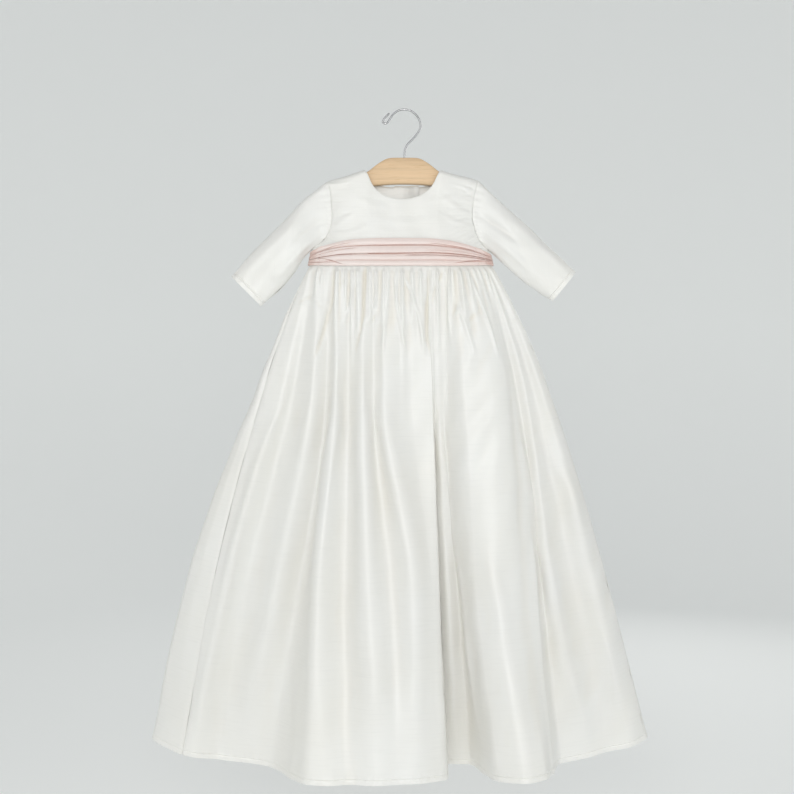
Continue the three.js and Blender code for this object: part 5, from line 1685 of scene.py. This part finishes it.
class GOWN_OT_bodice(bpy.types.Operator):
    """Builds the bodice: one front and two backs that lap at the middle"""

    bl_idname = "gown.bodice"
    bl_label = "Bodice"

    def execute(self, context):
        sizes = context.scene.gown_sizes
        low, high = SHOULDER_SHARE, 1 - SHOULDER_SHARE
        left = steps_between((0, 0.08, low), (24, 26))[:-1]
        right = steps_between((high, 0.92, 1), (26, 24))
        panels = (
            ("front", False, (left, np.linspace(low, high, 71)[:-1], right), 0, BODICE_SIZES[0]),
            ("back_left", True, (left, np.linspace(low, LAP_INNER, 50)), 0, BODICE_SIZES[1]),
            ("back_right", True, (np.linspace(LAP_OUTER, high, 36)[:-1], right), 1, BODICE_SIZES[1]),
        )
        for name, back, columns, laps, flat in panels:
            marks = list(BACK_CREASES if back else FRONT_CREASES)
            if columns[0][0] == 0:
                marks += seam_puckers("left", back, count=13, size=0.0005, seed=3)
            if columns[-1][-1] == 1:
                marks += seam_puckers("right", back, count=15, size=0.0007, seed=4)
            lift = lap_lift if laps else np.zeros_like
            u = np.concatenate(columns)
            points, outward, cloth = bodice_panel(u, back, lift, marks, len(name))
            if back:
                points = raise_neck(points, u, not laps)
            normals = normals_of(points, outward)
            on_neck = (u >= low) & (u <= high)
            reach = np.where(on_neck, -0.7, 1.0 if back else -0.5)
            points, normals, cloth = tuck(points, normals, cloth, 0, reach, rows=True)
            piece = f"bodice_{name}_silk"
            obj = cloth_shell(piece, points, normals, sizes.cloth_thickness, cloth, dupion("ivory"))
            finish_piece(obj, [f"bodice_{name}"])
        return {"FINISHED"}


class GOWN_OT_sleeves(bpy.types.Operator):
    """Builds the two sleeves, each cut in one piece and seamed under the arm"""

    bl_idname = "gown.sleeves"
    bl_label = "Sleeves"

    def execute(self, context):
        sizes = context.scene.gown_sizes
        rows = []
        for side in SIDES:
            points, outward, cloth = sleeve_panel(side, sizes)
            normals = normals_of(points, outward)
            rows.append(hem_row(points, normals, sizes.hem_depth))
            points, normals, cloth = tuck(points, normals, cloth, 0, rows=True)
            points, normals, cloth = tuck(points, normals, cloth, 0)
            name = f"sleeve_{side}_silk"
            obj = cloth_shell(name, points, normals, sizes.cloth_thickness, cloth, dupion("ivory"))
            finish_piece(obj, [f"sleeve_{side}"])
        sew("cuff_stitches", rows, "ivory")
        return {"FINISHED"}


def hem_row(points, normals, depth):
    """The line of a hem's stitching on a panel."""
    from_hem = np.linalg.norm(points - points[-1:], axis=-1).mean(axis=1)
    r = int(np.argmin(np.abs(from_hem - depth * HEM_STITCH_SHARE)))
    return points[r], normals[r]


def sew(name, rows, tone):
    """Adds rows of stitches in thread of the silk's own tone."""
    colour = tuple(getattr(bpy.context.scene.gown_colours, f"{tone}_shade"))
    finish_piece(stitches(name, rows, finish(f"{tone}_thread", thread, colour)), [])


class GOWN_OT_skirt(bpy.types.Operator):
    """Builds the long skirt, gathered at the waist: one front and two backs"""

    bl_idname = "gown.skirt"
    bl_label = "Skirt"

    def execute(self, context):
        sizes = context.scene.gown_sizes
        rows = []
        panels = (
            ("front", 0, SEAM_RIGHT, 400, (0, 1), FRONT_GATHERS, FRONT_LINES, FRONT_MARKS),
            ("back_right", SEAM_RIGHT, SEAM_BACK, 180, (), (), BACK_RIGHT_LINES, BACK_RIGHT_MARKS),
            ("back_left", SEAM_BACK, FOLD_COUNT, 180, (0,), (), BACK_LEFT_LINES, BACK_LEFT_MARKS),
        )
        for seed, (name, first, last, columns, tucks, gathers, lines, marks) in enumerate(panels):
            points, level, cloth = skirt_panel(first, last, columns, gathers, lines, marks, seed, sizes)
            normals = normals_of(points, level)
            rows.append(hem_row(points, normals, sizes.hem_depth))
            for end in tucks:
                points, normals, cloth = tuck(points, normals, cloth, end)
            piece = f"skirt_{name}_silk"
            obj = cloth_shell(piece, points, normals, sizes.cloth_thickness, cloth, dupion("ivory"))
            finish_piece(obj, [f"skirt_{name}"])
        sew("hem_stitches", rows, "ivory")
        return {"FINISHED"}


class GOWN_OT_sash(bpy.types.Operator):
    """Builds the pleated sash in three stretches, with its gathering stitches"""

    bl_idname = "gown.sash"
    bl_label = "Sash"

    def execute(self, context):
        sizes = context.scene.gown_sizes
        even = np.linspace(0, 1, 231)
        whole = mix((1 - np.cos(even * math.pi)) / 2, even, 0.35)
        left = (LAP_OUTER - SASH_BACK_GAP) * (1 - np.cos(np.linspace(0, 1, 111) * math.pi / 2))
        right = 1 - (1 - LAP_OUTER) * (1 - np.cos(np.linspace(1, 0, 111) * math.pi / 2))
        panels = (
            ("front", whole, False, np.zeros_like, SASH_CUTS[0]),
            ("back_left", left, True, np.zeros_like, SASH_CUTS[1]),
            ("back_right", right, True, lap_lift, SASH_CUTS[1]),
        )
        for seed, (name, columns, back, lift, flat) in enumerate(panels):
            points, outward, cloth = sash_panel(columns, back, lift, seed)
            normals = normals_of(points, outward)
            if not back:
                front, front_normals = points, normals
                for end in (0, 1):
                    points, normals, cloth = tuck(points, normals, cloth, end)
            piece = f"sash_{name}_silk"
            obj = cloth_shell(piece, points, normals, sizes.cloth_thickness, cloth, dupion("pink"))
            finish_piece(obj, [f"sash_{name}"])
        rows = []
        for s in SASH_STITCHES:
            k = int(np.argmin(np.abs(whole - (s + 1) / 2)))
            rows.append((front[:, k], front_normals[:, k]))
        sew("sash_stitches", rows, "pink")
        return {"FINISHED"}


class GOWN_OT_buttons(bpy.types.Operator):
    """Builds the covered buttons down the back"""

    bl_idname = "gown.buttons"
    bl_label = "Buttons"

    def execute(self, context):
        for i, z in enumerate(BUTTON_HEIGHTS, start=1):
            on_sash = i == len(BUTTON_HEIGHTS)
            lift = SASH_CLEAR + SASH_WALL + SASH_SWELL + BUTTON_SASH_CLEAR if on_sash else 0
            tone = "pink" if on_sash else "ivory"
            obj = button_mesh(f"covered_button_{i}", z, lift, dupion(tone))
            finish_piece(obj, [f"button_{i}"])
        return {"FINISHED"}


def soft_light(name, place, aim, size, power, colour):
    """A large soft lamp that points at aim."""
    lamp = bpy.data.lights.new(name, "AREA")
    lamp.shape = "DISK"
    lamp.size = size
    lamp.energy = power
    lamp.color = colour
    obj = bpy.data.objects.new(name, lamp)
    obj.location = place
    obj.rotation_euler = (Vector(aim) - Vector(place)).to_track_quat("-Z", "Y").to_euler()
    obj.visible_camera = False
    bpy.context.scene.collection.objects.link(obj)


class GOWN_OT_stage(bpy.types.Operator):
    """Builds the floor, the light and the camera"""

    bl_idname = "gown.stage"
    bl_label = "Floor, light and camera"

    def execute(self, context):
        scene = context.scene
        values = scene.gown_stage
        turn = np.linspace(0, math.pi / 2, 14)
        radii = np.concatenate([BOWL_RINGS, BOWL_FLAT + BOWL_CURVE * np.sin(turn)])
        heights = np.concatenate([np.zeros(len(BOWL_RINGS)), BOWL_CURVE * (1 - np.cos(turn))])
        radii = np.append(radii, radii[-1])
        heights = np.append(heights, BOWL_HEIGHT)
        angle = 2 * math.pi * np.arange(BOWL_AROUND) / BOWL_AROUND
        rings = np.empty((len(radii), BOWL_AROUND, 3))
        rings[..., 0] = radii[:, None] * np.cos(angle)
        rings[..., 1] = radii[:, None] * np.sin(angle)
        rings[..., 2] = FLOOR_Z + heights[:, None]
        paint = finish("floor_paint", floor_paint, tuple(values.floor), values.floor_glow)
        faces = ring_faces(len(rings), BOWL_AROUND)[:-1]
        mesh_object("floor_bowl", rings, faces, paint, sharp=80)
        for name, power, place, aim_z, size, colour in LAMPS:
            soft_light(name, place, (0, 0, aim_z), size, getattr(values, power), colour)
        world = scene.world or bpy.data.worlds.new("soft_room")
        scene.world = world
        world.use_nodes = True
        background = world.node_tree.nodes["Background"]
        background.inputs["Color"].default_value = ROOM_COLOUR
        background.inputs["Strength"].default_value = ROOM_LIGHT
        scene.view_settings.view_transform = "Standard"
        camera = bpy.data.cameras.new("camera")
        camera.sensor_width = CAMERA_SENSOR
        camera.lens = CAMERA_SENSOR * values.camera_distance / CAMERA_FIELD
        obj = bpy.data.objects.new("camera", camera)
        obj.location = (CAMERA_X, -values.camera_distance, CAMERA_Z)
        obj.rotation_euler = (math.pi / 2, 0, 0)
        scene.collection.objects.link(obj)
        scene.camera = obj
        return {"FINISHED"}


class GOWN_PT_panel(bpy.types.Panel):
    """Lists the gown's sizes, colours and building steps"""

    bl_label = "Christening Gown"
    bl_space_type = "VIEW_3D"
    bl_region_type = "UI"
    bl_category = "Gown"

    def draw(self, context):
        for group in (context.scene.gown_sizes, context.scene.gown_colours, context.scene.gown_stage):
            for name in group.__annotations__:
                self.layout.prop(group, name)
        for step in STEPS:
            self.layout.operator(step.bl_idname)


STEPS = (
    GOWN_OT_hanger,
    GOWN_OT_bodice,
    GOWN_OT_sleeves,
    GOWN_OT_skirt,
    GOWN_OT_sash,
    GOWN_OT_buttons,
    GOWN_OT_stage,
)
CLASSES = (GownSizes, GownColours, GownStage, *STEPS, GOWN_PT_panel)


def register():
    """Adds the classes and the gown's values to Blender."""
    for cls in CLASSES:
        bpy.utils.register_class(cls)
    bpy.types.Scene.gown_sizes = PointerProperty(type=GownSizes)
    bpy.types.Scene.gown_colours = PointerProperty(type=GownColours)
    bpy.types.Scene.gown_stage = PointerProperty(type=GownStage)


def unregister():
    """Takes them away again."""
    del bpy.types.Scene.gown_stage
    del bpy.types.Scene.gown_colours
    del bpy.types.Scene.gown_sizes
    for cls in reversed(CLASSES):
        bpy.utils.unregister_class(cls)


def main():
    """Builds the gown and its stage."""
    register()
    bpy.ops.gown.hanger()
    bpy.ops.gown.bodice()
    bpy.ops.gown.sleeves()
    bpy.ops.gown.skirt()
    bpy.ops.gown.sash()
    bpy.ops.gown.buttons()
    bpy.ops.gown.stage()


if __name__ == "__main__":
    main()
